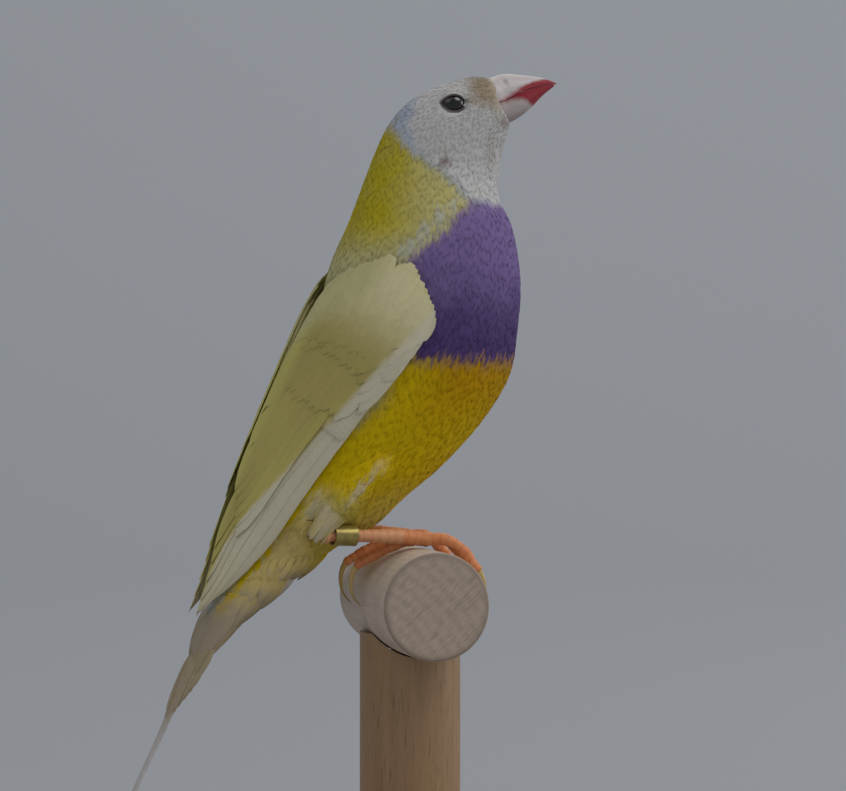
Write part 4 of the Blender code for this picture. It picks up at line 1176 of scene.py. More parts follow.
def make_coat(skin):
    coat = bpy.context.scene.finch.coat
    tree = coat_tree()
    feather = vane_pattern()
    soft = feather_finish("coat_feathers", 7.0, 0.04)
    mesh = skin.data
    s = read_attribute(mesh, "station")
    front = read_attribute(mesh, "front")
    thigh = read_attribute(mesh, "thigh") > 0.5
    bare = read_attribute(mesh, "bare") > 0.5
    body = ~thigh & ~bare
    stretches = [
        ("coat_face", "face", body & (s < 2.4), coat.face_spacing, 1.9, 0.55),
        ("coat_cheeks", "face", body & (s >= 2.4) & (s < 4.6), coat.face_spacing, 1.9, 0.55),
        ("coat_neck", "nape", body & (s >= 4.6) & (s < 7.2), coat.neck_spacing, 1.9, 0.5),
        ("coat_breast", "body", body & (s >= 7.2) & (s < 11.2) & (front > 0.4),
         coat.body_spacing, 1.75, 0.42),
        ("coat_belly", "body", body & (s >= 11.2) & (s < 15.0) & (front > 0.4),
         coat.body_spacing, 1.75, 0.42),
        ("coat_back", "body", body & (s >= 7.2) & (s < 15.0) & (front <= 0.4),
         coat.body_spacing, 1.8, 0.5),
        ("coat_rump", "rump", body & (s >= 15.0) & (s < 18.5), coat.body_spacing, 1.7, 0.5),
        ("coat_thighs", "thigh", thigh, coat.neck_spacing, 1.9, 0.5),
    ]
    for order, (name, slot, chosen, spacing, length, width) in enumerate(stretches):
        base = skin_stretch(skin, chosen)
        step = base.modifiers.new("Feathers", "NODES")
        step.node_group = tree
        set_inputs(step, tree, {"Skin": skin, "Feather": feather, "Spacing": spacing,
                                "Length": length * MM, "Width": width * MM, "Lift": coat.lift,
                                "Seed": coat.seed + 10 * order, "Finish": soft})
        bpy.context.view_layer.update()
        piece = baked(base, name)
        soften_normals(piece.data, COAT_SOFTNESS)
        blend_markings(piece.data)
        corners = corner_points(piece.data)
        root, vane = (read_attribute(piece.data, label, 3)[corners, :2]
                      for label in ("unwrap", "vane"))
        set_bake_map(piece.data, root, vane)
        for spare in ("root_marking", "lie", "skin_normal", "unwrap", "height", "size"):
            if spare in piece.data.attributes:
                piece.data.attributes.remove(piece.data.attributes[spare])
        finish_piece(piece, slot)
    bpy.data.objects.remove(feather, do_unlink=True)
    bpy.data.node_groups.remove(tree)


def wing_flat(p, q):
    """The left wing's sheet without lift: p along it from the wrist, q across to the back."""
    wrist, tip = np.array(WING_WRIST), np.array(WING_TIP)
    axis = (tip - wrist) / np.linalg.norm(tip - wrist)
    lower_rise, upper_rise = curve(WING_LOWER_RISE, p), curve(WING_UPPER_RISE, p)
    first = math.radians(-6)
    turn = np.radians(-6 + 96 * q)
    up = (np.sin(turn) - math.sin(first)) / (1 - math.sin(first))
    inward = (math.cos(first) - np.cos(turn)) / math.cos(first)
    rise = lower_rise + (upper_rise - lower_rise) * up
    lower_y, inner_y = curve(WING_LOWER_Y, p), curve(WING_INNER_Y, p)
    return np.stack([wrist[0] + axis[0] * p + axis[1] * rise,
                     lower_y + (inner_y - lower_y) * inward,
                     wrist[1] + axis[1] * p - axis[0] * rise], axis=-1)


def wing_normal(p, q):
    """Direction away from the body at places on the left wing's sheet."""
    along = wing_flat(p + 0.5, q) - wing_flat(p - 0.5, q)
    across = wing_flat(p, q + 0.02) - wing_flat(p, q - 0.02)
    normal = unit(np.cross(along, across))
    return np.where((normal @ np.array(WING_OUTWARDS))[..., None] < 0, -normal, normal)


def wing_sheet(p, q, lift=0.0):
    """Points of the left wing's outer sheet: q runs from its lower edge to the back."""
    p, q = np.broadcast_arrays(np.asarray(p, float), np.asarray(q, float))
    return wing_flat(p, q) + wing_normal(p, q) * np.asarray(lift)[..., None]


def wing_span(p):
    """Length across the wing sheet at distance p from the wrist."""
    cuts = wing_sheet(np.asarray(p)[..., None], np.linspace(0, 1, 7))
    return np.linalg.norm(np.diff(cuts, axis=-2), axis=-1).sum(-1)


def plate(outer, inner, values):
    """A closed plate between two grids of points, with the same values on both."""
    rows, columns = outer.shape[:2]
    count = rows * columns
    faces = []
    for i in range(rows - 1):
        for j in range(columns - 1):
            a, b = i * columns + j, i * columns + j + 1
            faces.append((a, b, b + columns, a + columns))
            faces.append((a + count, a + columns + count, b + columns + count, b + count))
    loop = ([j for j in range(columns - 1)]
            + [i * columns + columns - 1 for i in range(rows - 1)]
            + [(rows - 1) * columns + j for j in range(columns - 1, 0, -1)]
            + [i * columns for i in range(rows - 1, 0, -1)])
    for k, a in enumerate(loop):
        b = loop[(k + 1) % len(loop)]
        faces.append((a, a + count, b + count, b))
    points = np.concatenate([outer.reshape(-1, 3), inner.reshape(-1, 3)])
    points, faces = turned_out(points, faces)
    doubled = {name: np.concatenate([grid.reshape(count, -1)] * 2).squeeze(-1)
               if grid.ndim == 2 else np.concatenate([grid.reshape(count, -1)] * 2)
               for name, grid in values.items()}
    if "skin_normal" in doubled:
        doubled["skin_normal"][count:] = 0.0
    return points, faces, doubled


def vane_width(v, tip=0.3):
    """Share of its full width that a vane has along it, from quill to rounded tip."""
    growing = np.minimum(1.0, 0.55 + 1.5 * v)
    past = np.clip((v - (1 - tip)) / (tip * 1.06), 0, 1)
    return growing * np.sqrt(1 - past ** 2)


def wing_marking(p, q):
    """Colour of the wing at places on its sheet."""
    wing = bpy.context.scene.finch.wing
    shape = np.broadcast(p, q).shape
    p, q = np.broadcast_to(p, shape), np.broadcast_to(q, shape)
    colours = np.tile(np.array(wing.coverts), shape + (1,))

    def lay(colour, share):
        colours[...] += (np.array(colour) - colours) * np.clip(share, 0, 1)[..., None]

    over = q - curve(HAND_BAND, p)
    wave = 0.5 + 0.5 * np.sin(p * 0.21 + q * 9.0)
    # Painted highlight: pale cream laid on the shoulder, where the light falls on the wing
    lay(wing.shoulder_highlight, smooth_step((13.0 - p) / 13.0) * smooth_step((0.86 - q) / 0.3))
    lay(wing.olive, smooth_step((p - 14.0) / 14.0) * (0.45 + 0.4 * smooth_step((0.22 - over) / 0.2)
                                                      - 0.25 * wave))
    lay(wing.back_edge, smooth_step((q - 0.68) / 0.2) * smooth_step((p + 2.0) / 9.0)
        * smooth_step((56.0 - p) / 8.0))
    lay(wing.hand, smooth_step(0.5 - over / 0.035))
    lay(wing.coverts, smooth_step((p - 46.0) / 12.0) * 0.25)
    on_mantle = smooth_step((6.0 + 6.0 * q - p + curve(WING_FRONT, q)) / 8.0)
    lay(bpy.context.scene.finch.coat.mantle, on_mantle * smooth_step((q - 0.36) / 0.2))
    return colours


def wing_vane(root, tip, half_width, lift_root, lift_tip, tilt, settle, seed, rows, columns):
    """A closed feather on the wing sheet between two (p, q) places."""
    draw = np.random.default_rng(seed)
    v = np.linspace(0, 1, rows) ** 0.92
    u = np.linspace(-1, 1, columns)
    p = root[0] + (tip[0] - root[0]) * v
    q = root[1] + (tip[1] - root[1]) * v
    frayed = 1 + 0.02 * draw.normal(size=(rows, 2)) * (v[:, None] > 0.35)
    reach = half_width * vane_width(v) / np.maximum(wing_span(p), 2.0)
    side = np.where(u[None, :] < 0, frayed[:, :1], frayed[:, 1:])
    q_grid = np.minimum(q, 0.985 - reach)[:, None] + u[None, :] * reach[:, None] * side
    p_grid = p[:, None] - 0.5 * np.abs(u[None, :]) ** 2 * half_width * (v[:, None] ** 3)
    lift_tip = lift_tip * (1 - 0.75 * smooth_step((q - 0.72) / 0.22))
    lift = (lift_root + (lift_tip - lift_root) * v ** 0.7)[:, None]
    lift = lift - u[None, :] * tilt / 2 + 0.05 * (1 - np.abs(u[None, :]) ** 1.5)
    lift = lift - settle * smooth_step((v[:, None] - 0.5) / 0.5)
    edge = np.clip(1 - np.abs(u[None, :]) ** 3, 0, 1) * np.clip(1 - v[:, None] ** 8, 0, 1)
    outer = wing_sheet(p_grid, q_grid, lift)
    inner = wing_sheet(p_grid, q_grid, lift - 0.05 - 0.18 * edge)
    values = {"vane": vane_places(u[None, :], v[:, None]),
              "marking": wing_marking(p_grid, np.clip(q_grid, 0, 1)),
              "skin_normal": wing_normal(p_grid, q_grid),
              "shade": np.full((rows, columns), draw.random())}
    return plate(outer, inner, values)


def wing_feathers():
    """Every tier of the left wing, from the flight feathers up to the lesser coverts."""
    relief = bpy.context.scene.finch.wing.relief / MM
    feathers = []
    draw = np.random.default_rng(60)

    def grow(root, tip, width, low, high, tilt=0.08, settle=0.0, rows=14, columns=7):
        feathers.append(wing_vane(root, tip, width, low, high, tilt, settle, len(feathers),
                                  rows, columns))

    for i, tip in enumerate(PRIMARY_TIPS):
        grow((9.0 + 1.2 * i, 0.05 + 0.035 * i), tip, 1.9, -1.0, -0.5 + 0.07 * i, 0.2, 0.0, 26)
    for i in range(6):
        grow((14.5, 0.26 + 0.075 * i), (45.5 - 1.2 * i, 0.46 + 0.065 * i), 1.9, -0.4,
             0.02 * i, 0.14, 0.05, 22)
    for root, tip, width in TERTIALS:
        grow(root, tip, width, -0.4, relief, 0.1, 0.1, 18)
    for i in range(14):
        q = 0.13 + 0.78 * i / 13
        grow((9.5, q), (21.8 + 1.2 * draw.random(), q + 0.03), 1.7, -0.35, relief + 0.02,
             0.06, 0.2)
    for i in range(5):
        grow((5.0, 0.03 + 0.035 * i), (19.0 - 1.2 * i, 0.04 + 0.045 * i), 1.15, -0.4,
             0.03 + 0.03 * i, 0.08, 0.1)
    for i in range(15):
        q = 0.12 + 0.79 * i / 14
        root = max(4.5, float(curve(WING_FRONT, q)) + 0.5)
        grow((root, q), (14.0 + 1.6 * draw.random(), q + 0.02), 1.6, -0.35, relief + 0.07,
             0.06, 0.2)
    for i in range(3):
        grow((0.4, 0.03 + 0.04 * i), (12.6 - 2.4 * i, 0.04 + 0.045 * i), 1.1, -0.4,
             0.10 + 0.04 * i, 0.08, 0.1)
    for row in range(6):
        for i in range(17):
            q = 0.04 + (0.86 - 0.02 * row) * (i + 0.5 * (row % 2)) / 16.5
            start = float(curve(WING_FRONT, q))
            p = start + (9.4 - start) * (0.80 - 0.165 * row) - 0.3 + 0.9 * draw.random()
            grow((p, q), (p + 5.2, q + 0.01), 1.3, -0.2, relief + 0.08 + 0.012 * row, 0.04, 0.16,
                 9, 5)
    for i in range(34):
        q = 0.01 + 0.95 * i / 33
        start = float(curve(WING_FRONT, q)) + 0.5 * draw.random()
        grow((start - 1.1, q), (start + 4.0, q), 0.95, -1.0, relief + 0.14, 0.03, 0.2, 9, 5)
    for row in range(4):
        for i in range(14):
            q = 0.42 + 0.53 * (i + 0.5 * (row % 2)) / 13.5
            p = float(curve(WING_FRONT, q)) + 2.8 - 2.0 * row + 0.8 * draw.random()
            grow((p, q), (p + 5.6, q + 0.015), 1.35, -0.5, relief + 0.12 + 0.025 * row, 0.03, 0.22,
                 9, 5)
    return feathers


def wing_arm():
    """The arm of the wing under its coverts, a curved plate."""
    share = np.linspace(0, 1, 20)[:, None]
    q = np.linspace(0.0, 0.98, 22)[None, :]
    start = curve(WING_FRONT, q)
    p = start + (WING_PLATE_END - start) * share
    q = np.broadcast_to(q, p.shape)
    edge = np.minimum(np.minimum(share, 1 - share) * 12, np.minimum(q, 0.98 - q) * 12)
    edge = np.clip(edge, 0, 1)
    outer = wing_sheet(p, q, -0.45 + 0.2 * edge)
    inner = wing_sheet(p, q, -0.85 - 0.6 * edge)
    values = {"vane": np.stack([q * 0, share + q * 0, q * 0], axis=-1),
              "marking": wing_marking(p, q), "shade": np.full(p.shape, 0.5),
              "skin_normal": wing_normal(p, q)}
    return plate(outer, inner, values)


def flipped(shape):
    """The same feather on the other side of the bird."""
    points, faces, values = shape
    values = dict(values, skin_normal=values["skin_normal"] * (1, -1, 1))
    return np.asarray(points) * (1, -1, 1), [tuple(reversed(f)) for f in faces], values


def make_wings():
    finish = feather_finish("flight_feathers", 26.0, 0.02)
    feathers = [wing_arm()] + wing_feathers()
    for name, shapes in (("wing_left", feathers), ("wing_right", [flipped(f) for f in feathers])):
        points, faces, values = gather(shapes)
        piece = add_piece(name + "_feathers", points, faces, finish, values)
        soften_normals(piece.data, WING_SOFTNESS)
        piece.data.attributes.remove(piece.data.attributes["skin_normal"])
        finish_piece(piece, "wing", name)


def tail_at(d, rise, y):
    """Points at a distance along the tail, a height over its line and a way to the side."""
    ahead = TAIL_DIRECTION
    return np.stack([TAIL_ROOT[0] + ahead[0] * d + ahead[1] * rise, y + 0 * d,
                     TAIL_ROOT[1] + ahead[1] * d - ahead[0] * rise], axis=-1)


def tail_vane(pair, side):
    """One of the twelve tail feathers; pair 0 is the middle one with the long pin."""
    tail = bpy.context.scene.finch.wing
    share = pair / 5
    rows, columns = (30, 7) if pair == 0 else (20, 7)
    length = TAIL_PIN_LENGTH if pair == 0 else TAIL_SIDE_LENGTHS[pair - 1]
    lean = math.radians(8 + 40 * share)
    v = np.linspace(0, 1, rows)[:, None]
    u = np.linspace(-1, 1, columns)[None, :]
    if pair == 0:
        width = 0.34 + 1.4 * (1 - v) ** 1.3
        width = width * np.sqrt(np.clip((1 - v) / 0.02, 0.05, 1))
    else:
        width = (1.9 - 0.5 * share) * vane_width(v)
    draw = np.random.default_rng(100 + pair)
    width = width * (1 + 0.02 * draw.normal(size=(rows, 1)) * (v > 0.2))
    y_root, rise_root = 0.9 + 2.6 * share, 1.9 - 1.8 * share
    y_tip, rise_tip = 0.45 + 1.5 * share, 2.5 - 1.1 * share
    y = side * (y_root + (y_tip - y_root) * v) + side * u * width * math.cos(lean)
    rise = rise_root + (rise_tip - rise_root) * v + 0.3 * np.sin(math.pi * v)
    if pair == 0:
        y = side * np.maximum(side * y, 0.02)
        rise = curve(PIN_RISE, length * v + 1.0)
    rise = rise - u * width * math.sin(lean) + 0.14 * (1 - u ** 2)
    d = length * v + 1.0 - 0.6 * u ** 2 * v ** 4 + 0 * u
    outer = tail_at(d, rise + 0.12, y)
    inner = tail_at(d, rise - 0.16, y)
    pale = smooth_step((share - 0.15) / 0.5)
    middle, beside = np.array(tail.tail_middle), np.array(tail.tail_side)
    colour = middle + (beside - middle) * (pale * 0.8 + 0.35 * np.abs(u)[..., None] * (1 - pale))
    pin = smooth_step((d[..., None] - 9.0) / 11.0) * (pair == 0)
    colour = colour + (np.array(tail.tail_pin) - colour) * pin + 0 * v[..., None]
    values = {"vane": vane_places(u, v), "marking": colour,
              "shade": np.full((rows, columns), draw.random())}
    return plate(outer, inner, values)


def make_tail():
    turns = circle(20)
    rings = [body_at(18.7, turns, -0.5)]
    for d, rise, depth, width in TAIL_BLOCK:
        rings.append(tail_at(d + 0 * turns, rise + depth * np.cos(turns), width * np.sin(turns)))
    points, faces = tube(rings)
    colour = np.tile(np.array(bpy.context.scene.finch.wing.tail_side), (len(points), 1))
    block = (points, faces, {"vane": np.zeros((len(points), 3)), "marking": colour,
                             "shade": np.full(len(points), 0.4)})
    shapes = [block]
    for pair in range(6):
        shapes += [tail_vane(pair, -1), tail_vane(pair, 1)]
    points, faces, values = gather(shapes)
    finish = feather_finish("tail_feathers", 24.0, 0.02)
    piece = add_piece("tail_feathers", points, faces, finish, values, 50.0)
    finish_piece(piece, "tail", "tail")


def soft_vane(outer, out, u, v, thickness, colour, shade):
    """A closed soft vane under a grid of points, thickest along its shaft at the root."""
    inner = outer - out * (0.05 + thickness * (1 - np.abs(u)) * (1 - v))[..., None]
    values = {"vane": vane_places(u, v), "marking": np.broadcast_to(colour, outer.shape),
              "shade": np.full(outer.shape[:2], shade),
              "skin_normal": np.broadcast_to(out, outer.shape).copy()}
    return plate(outer, inner, values)


def make_long_coverts():
    """Long coverts above and below the root of the tail."""
    wing = bpy.context.scene.finch.wing
    shapes = []
    side, middle = np.array(wing.tail_side), np.array(wing.tail_middle)
    for row, (start, reach, count) in enumerate(LONG_COVERTS):
        for i in range(count):
            draw = np.random.default_rng(200 + 50 * row + i)
            turn = 2 * math.pi * (i + 0.5 * row) / count
            v = np.linspace(0, 1, 9)[:, None]
            u = np.linspace(-1, 1, 5)[None, :]
            width = 0.55 * vane_width(v, 0.7)
            length = reach * (0.7 + 0.45 * draw.random())
            d = v * length + 0 * u
            base = body_at(start, turn, -0.25)
            ahead = unit(body_at(18.9, turn) - body_at(17.4, turn))
            towards = unit(np.array([TAIL_DIRECTION[0], 0, TAIL_DIRECTION[1]]) * 0.9 + ahead)
            out = unit(body_at(start, turn, 1.0) - body_at(start, turn, 0.0))
            across = np.cross(towards, out)
            lift = 0.1 + 0.2 * v ** 0.7 + 0.06 * (1 - u ** 2) - 0.1 * u ** 2
            lift = lift - (1.2 - 0.9 * min(0.0, math.cos(turn))) * v ** 2.3
            outer = (base + d[..., None] * towards + (u * width)[..., None] * across
                     + lift[..., None] * out)
            root = body_marking(base[None, :] + (0.0, 0.0, -1.0),
                                np.array([(1 - math.cos(turn)) / 2]))[0]
            below = smooth_step((-math.cos(turn) + 0.1) / 0.9)
            tip = middle + (side - middle) * below
            colour = root + (tip - root) * (smooth_step((v[..., None] + 0.22 * row - 0.2) / 0.9))
            shapes.append(soft_vane(outer, out, u, v, 0.12, colour, draw.random()))
    finish = feather_finish("covert_feathers", 16.0, 0.03)
    finish_tufts("coat_long_coverts", "rump", shapes, finish, 0.93, 0.007, 40)


def finish_tufts(name, slot, shapes, finish, first, step, in_row):
    """Joins single vanes into a coat piece, with a patch of its bake map for each."""
    points, faces, values = gather(shapes)
    piece = add_piece(name, points, faces, finish, values)
    soften_normals(piece.data, COAT_SOFTNESS)
    piece.data.attributes.remove(piece.data.attributes["skin_normal"])
    corners = corner_points(piece.data)
    number = np.repeat(np.arange(len(shapes)), len(points) // len(shapes))[corners]
    places = np.stack([first + step * (number // in_row), (number % in_row) / in_row], axis=1)
    set_bake_map(piece.data, places, values["vane"][corners, :2])
    finish_piece(piece, slot)


def make_ankle_tufts():
    """Soft vanes that close the feathering round each ankle and run out on the leg."""
    ankle = np.array(ANKLE)
    shapes = []
    across = unit(np.array(SLEEVE_FRONT))
    for row in range(4):
        for i in range(16):
            draw = np.random.default_rng(400 + 20 * row + i)
            v = np.linspace(0, 1, 7)[:, None]
            u = np.linspace(-1, 1, 5)[None, :]
            turn = 2 * math.pi * (i + 0.5 * row + 0.5 * draw.random()) / 16
            length = 0.55 * (0.85 + 0.3 * draw.random()) * (0.8 if math.cos(turn) > 0.3 else 1.0)
            t = 0.15 * row + length * v + 0 * u
            middle = np.stack([curve(SLEEVE_X, t), 0 * t, curve(SLEEVE_Z, t)], axis=-1)
            radius = curve(SLEEVE_RADIUS, t)
            turns = turn + u * 0.62 * vane_width(v, 0.8) / np.maximum(radius, 1.2)
            out = (np.cos(turns)[..., None] * across
                   + np.sin(turns)[..., None] * np.array([0.0, 1.0, 0.0]))
            lift = (0.1 + 0.25 * draw.random()) * v ** 0.7 - 0.3 * v ** 3 + 0.02 * row
            outer = ankle + middle + out * (radius + lift)[..., None]
            root = body_marking(outer.reshape(-1, 3), np.full(35, 0.7)).reshape(7, 5, 3)
            share = 0.35 + 0.5 * v[..., None]
            colour = root + (ANKLE_DOWN - root) * share * (0.6 + 0.8 * draw.random())
            colour = np.clip(colour * (0.9 + 0.2 * draw.random()), 0.0, 0.9)
            shapes.append(soft_vane(outer, out, u, v, 0.1, colour, draw.random()))
    finish = feather_finish("ankle_down", 9.0, 0.04)
    shapes += [flipped(shape) for shape in shapes]
    finish_tufts("coat_ankles", "thigh", shapes, finish, 0.968, 0.004, 16)


def bill_at(f, g, y):
    """Points along the bill, over its axis and to its side."""
    c, s = math.cos(BILL_RISE), math.sin(BILL_RISE)
    return np.stack([BILL_BASE[0] + f * c - g * s, y, BILL_BASE[1] + f * s + g * c], axis=-1)


def mandible(start, length, upper):
    """One half of the bill as rings, with the nostrils sunk into the upper one."""
    rows, sides = 60, 40
    f = start + (length - start) * np.linspace(0, 1, rows) ** 0.95
    edge = curve(TOMIUM, f) + (0.05 if upper else -0.05)
    far = curve(CULMEN, f) if upper else curve(GONYS, f)
    width = curve(BILL_HALF_WIDTH, f) * (1.0 if upper else 0.93)
    far = np.where(np.abs(far - edge) < 0.1, edge + (0.1 if upper else -0.1), far)
    arch = math.pi * np.linspace(0, 1, 31)
    floor = np.linspace(-1, 1, sides - 31 + 2)[1:-1]
    y = np.concatenate([np.cos(arch), floor])[None, :] * width[:, None]
    rise = np.concatenate([np.sin(arch) ** 0.85, -0.0 * floor])[None, :]
    g = edge[:, None] + (far - edge)[:, None] * rise
    groove = 0.03 * np.exp(-((rise - 0.12) / 0.06) ** 2) * (rise > 0.01)
    y = y * (1 - groove)
    f_grid = np.broadcast_to(f[:, None], y.shape)
    if upper:
        near = np.hypot(f_grid - NOSTRIL[0] - 0.3, (g - NOSTRIL[1]) * 1.2)
        pit = smooth_step((0.62 - near) / 0.4) * (np.abs(y) > 0.8)
        y = y - np.sign(y) * 0.32 * pit
        swell = np.exp(-((near - 0.85) / 0.25) ** 2) * (np.abs(y) > 0.8)
        y = y + np.sign(y) * 0.07 * swell
    rings = bill_at(f_grid, g, y)
    points, faces = tube(rings)
    share = np.stack([f_grid / BILL_LENGTH, np.abs(rise) + 0 * y, np.full(y.shape, float(upper))],
                     axis=-1).reshape(-1, 3)
    ends = np.array([[start / BILL_LENGTH, 0.5, float(upper)], [1.0, 0.5, float(upper)]])
    return points, faces, {"bill": np.concatenate([share, ends])}


def make_bill():
    finish = horn_finish(bpy.context.scene.finch.bare)
    for name, slot, length, upper in (("upper", "bill", BILL_LENGTH, True),
                                      ("lower", "bill_lower", BILL_LENGTH - 0.6, False)):
        points, faces, values = mandible(BILL_START, length, upper)
        horn = add_piece("bill_" + name + "_horn", points, faces, finish, values, 60.0)
        finish_piece(horn, slot, "bill_" + name)


def make_eyes():
    bare = bpy.context.scene.finch.bare
    wet, lids = eye_finish(bare), lid_finish(bare)
    tilt = math.pi * np.linspace(0.015, 0.985, 40)
    turns = circle(48)
    for name, side in (("eye_right", -1), ("eye_left", 1)):
        x = EYE_CENTRE[0] + EYE_RADIUS * np.sin(tilt)[:, None] * np.cos(turns)
        z = EYE_CENTRE[2] + EYE_FLATNESS * EYE_RADIUS * np.sin(tilt)[:, None] * np.sin(turns)
        y = side * (EYE_CENTRE[1] + EYE_RADIUS * np.cos(tilt)[:, None] + 0 * turns)
        points, faces = tube(np.stack([x, y, z], axis=-1))
        reach = np.hypot(points[:, 0] - EYE_CENTRE[0], points[:, 2] - EYE_CENTRE[2]) / 2.0
        ball = add_piece(name + "_ball", points, faces, wet, {"reach": reach})
        finish_piece(ball, "eye", name)
        finish_piece(make_lids(name + "_lids", side, lids), "eye")


def make_lids(name, side, finish):
    """Both lids of one eye: a rounded almond rim that lies on the eye and runs out on the skin."""
    turns = circle(64)
    corner = np.abs(np.cos(turns)) ** 6
    radius_x = EYE_OPENING[0] * (1 + 0.16 * corner)
    radius_z = EYE_OPENING[1] * (1 - 0.12 * corner)
    rings, reaches = [], []
    for out, height in LID_PROFILE:
        x = EYE_CENTRE[0] + (radius_x + out) * np.cos(turns)
        z = EYE_CENTRE[2] + (radius_z + out) * np.sin(turns)
        away = np.hypot(x - EYE_CENTRE[0], z - EYE_CENTRE[2])
        ball = EYE_CENTRE[1] + np.sqrt(np.maximum(EYE_RADIUS ** 2 - away ** 2, 0.4))
        rings.append(np.stack([x, side * (ball + height + 0.30 * max(out, 0.0)), z], axis=-1))
        reaches.append(np.full(len(turns), max(out, 0.0)))
    return add_piece(name, *hoop(rings), finish, {"reach": np.concatenate(reaches)})


def scaly_rod(path, radii, scales, sides=20, start=0.0):
    """A rod with overlapping scales, whose steps are highest on its front and back."""
    path, radii = np.asarray(path, float), np.asarray(radii, float)
    share = np.linspace(0, 1, len(path))
    saw = (share * scales + start) % 1.0
    step = 0.07 * saw - 0.05 * np.exp(-((saw - 0.02) / 0.07) ** 2)
    turns = circle(sides)
    face = 0.35 + 0.65 * np.abs(np.cos(turns))
    grown = radii[:, None] * (1 + step[:, None] * face[None, :])
    points, faces = rod(path, grown, sides)
    joint = np.exp(-(np.minimum(saw, 1 - saw) / 0.09) ** 2)[:, None] * face[None, :]
    return points, faces, {"joint": np.concatenate([joint.ravel(), [0.0, 0.0]])}


def on_perch(angle, stand_off, y):
    reach = PERCH_RADIUS + stand_off
    turn = np.radians(angle)
    return np.stack([reach * np.cos(turn), y + 0 * turn, reach * np.sin(turn)], axis=-1)


def toe_path(course, shortening, share, y_start, y_end):
    """Middles of a toe and its claw, laid round the perch from the pad of the foot."""
    angle = curve([(at, angle) for at, angle, _ in course], share)
    angle = course[0][1] + (angle - course[0][1]) * shortening
    height = curve([(at, height) for at, _, height in course], share)
    return on_perch(angle, height, y_start + (y_end - y_start) * share)


def make_toe(course, shortening, y_start, y_end, radius):
    t = np.linspace(0, 1, 56)
    path = toe_path(course, shortening, t * CLAW_STARTS_AT, y_start, y_end)
    bulge = radius * (1.0 - 0.22 * t) * (1.0 + 0.08 * np.cos(6 * math.pi * t))
    bulge = bulge * np.where(t > 0.95, 1 - 0.35 * (t - 0.95) / 0.05, 1.0)
    toe = scaly_rod(path, bulge * 0.97, 9)
    share = np.linspace(0, 1, 18)
    r = radius * (0.60 - 0.54 * share ** 1.2) + 0.02
    claw = toe_path(course, shortening, CLAW_STARTS_AT - 0.04 + (1.04 - CLAW_STARTS_AT) * share,
                    y_start, y_end)
    points, faces = rod(claw, r, 12, 0.8)
    reach = np.concatenate([np.repeat(share, 12), [0.0, 1.0]])
    return toe, (points, faces, {"reach": reach})


def make_legs():
    bare = bpy.context.scene.finch.bare
    legs = leg_finish("tarsus_skin", tuple(bare.leg))
    toes = leg_finish("toe_skin", tuple(bare.toe))
    horn = claw_finish(bare)
    turns = circle(24)
    for name, side in (("right", -1), ("left", 1)):
        ankle, foot = leg_ends(side)
        t = np.linspace(-0.02, 1.04, 90)
        shank = scaly_rod(ankle + (foot - ankle) * t[:, None], curve(TARSUS_RADII, t), 10)
        piece = add_piece("tarsus_" + name, *shank[:2], legs, shank[2])
        finish_piece(piece, "leg_skin", "leg_" + name)
        y = side * FOOT_SIDE
        t = np.linspace(0, 1, 24)[:, None]
        neck = scaly_rod(foot * (1 - t) + np.array([1.4, y, 10.1]) * t,
                         np.linspace(1.1, 1.15, 24), 4)
        tilt = math.pi * np.linspace(0.03, 0.97, 16)[:, None]
        pad = tube(np.stack([1.0 + 1.9 * np.sin(tilt) * np.cos(turns),
                             y - 1.5 * np.cos(tilt) + 0 * turns,
                             10.15 + 1.1 * np.sin(tilt) * np.sin(turns)], axis=-1))
        shapes = [neck, (*pad, {"joint": np.zeros(len(pad[0]))})]
        claws = []
        for plan in ((FRONT_TOE, 0.95, y, y + side * 0.2, 1.0),
                     (FRONT_TOE, 1.0, y + side * 0.5, y + side * 4.4, 0.9),
                     (FRONT_TOE, 0.8, y - side * 0.5, y - side * 3.2, 0.85),
                     (HIND_TOE, 1.0, y - side * 1.4, y - side * 3.0, 0.92)):
            toe, claw = make_toe(*plan)
            shapes.append(toe)
            claws.append(claw)
        points, faces, values = gather(shapes)
        piece = add_piece("toes_" + name, points, faces, toes, values)
        finish_piece(piece, "leg_skin", "foot_" + name)
        points, faces, values = gather(claws)
        finish_piece(add_piece("claws_" + name, points, faces, horn, values), "leg_skin")


def make_ring():
    """A plain closed band with rounded edges round the right leg."""
    ankle, foot = leg_ends(-1)
    ahead = unit(foot - ankle)
    start = ankle + ahead * RING_START
    across = unit(np.cross(ahead, [0.0, 1.0, 0.0]))
    other = np.cross(ahead, across)
    turns = circle(64)
    rings = [start + ahead * d + r * (np.cos(turns)[:, None] * across
                                      + np.sin(turns)[:, None] * other) for d, r in RING_PROFILE]
    piece = add_piece("ring_band", *hoop(rings), ring_finish(bpy.context.scene.finch.bare),
                      None, 60.0)
    finish_piece(piece, "ring", "leg_ring")


def lathe(profile, axis, steps=128):
    """A closed solid turned round the Z or Y axis from (radius, height) pairs."""
    turns = circle(steps)
    rings = []
    for radius, height in profile:
        a, b = radius * np.cos(turns), radius * np.sin(turns)
        rings.append(np.stack([a, b, height + 0 * a] if axis == "Z" else [a, height + 0 * a, b],
                              axis=-1))
    return tube(rings)


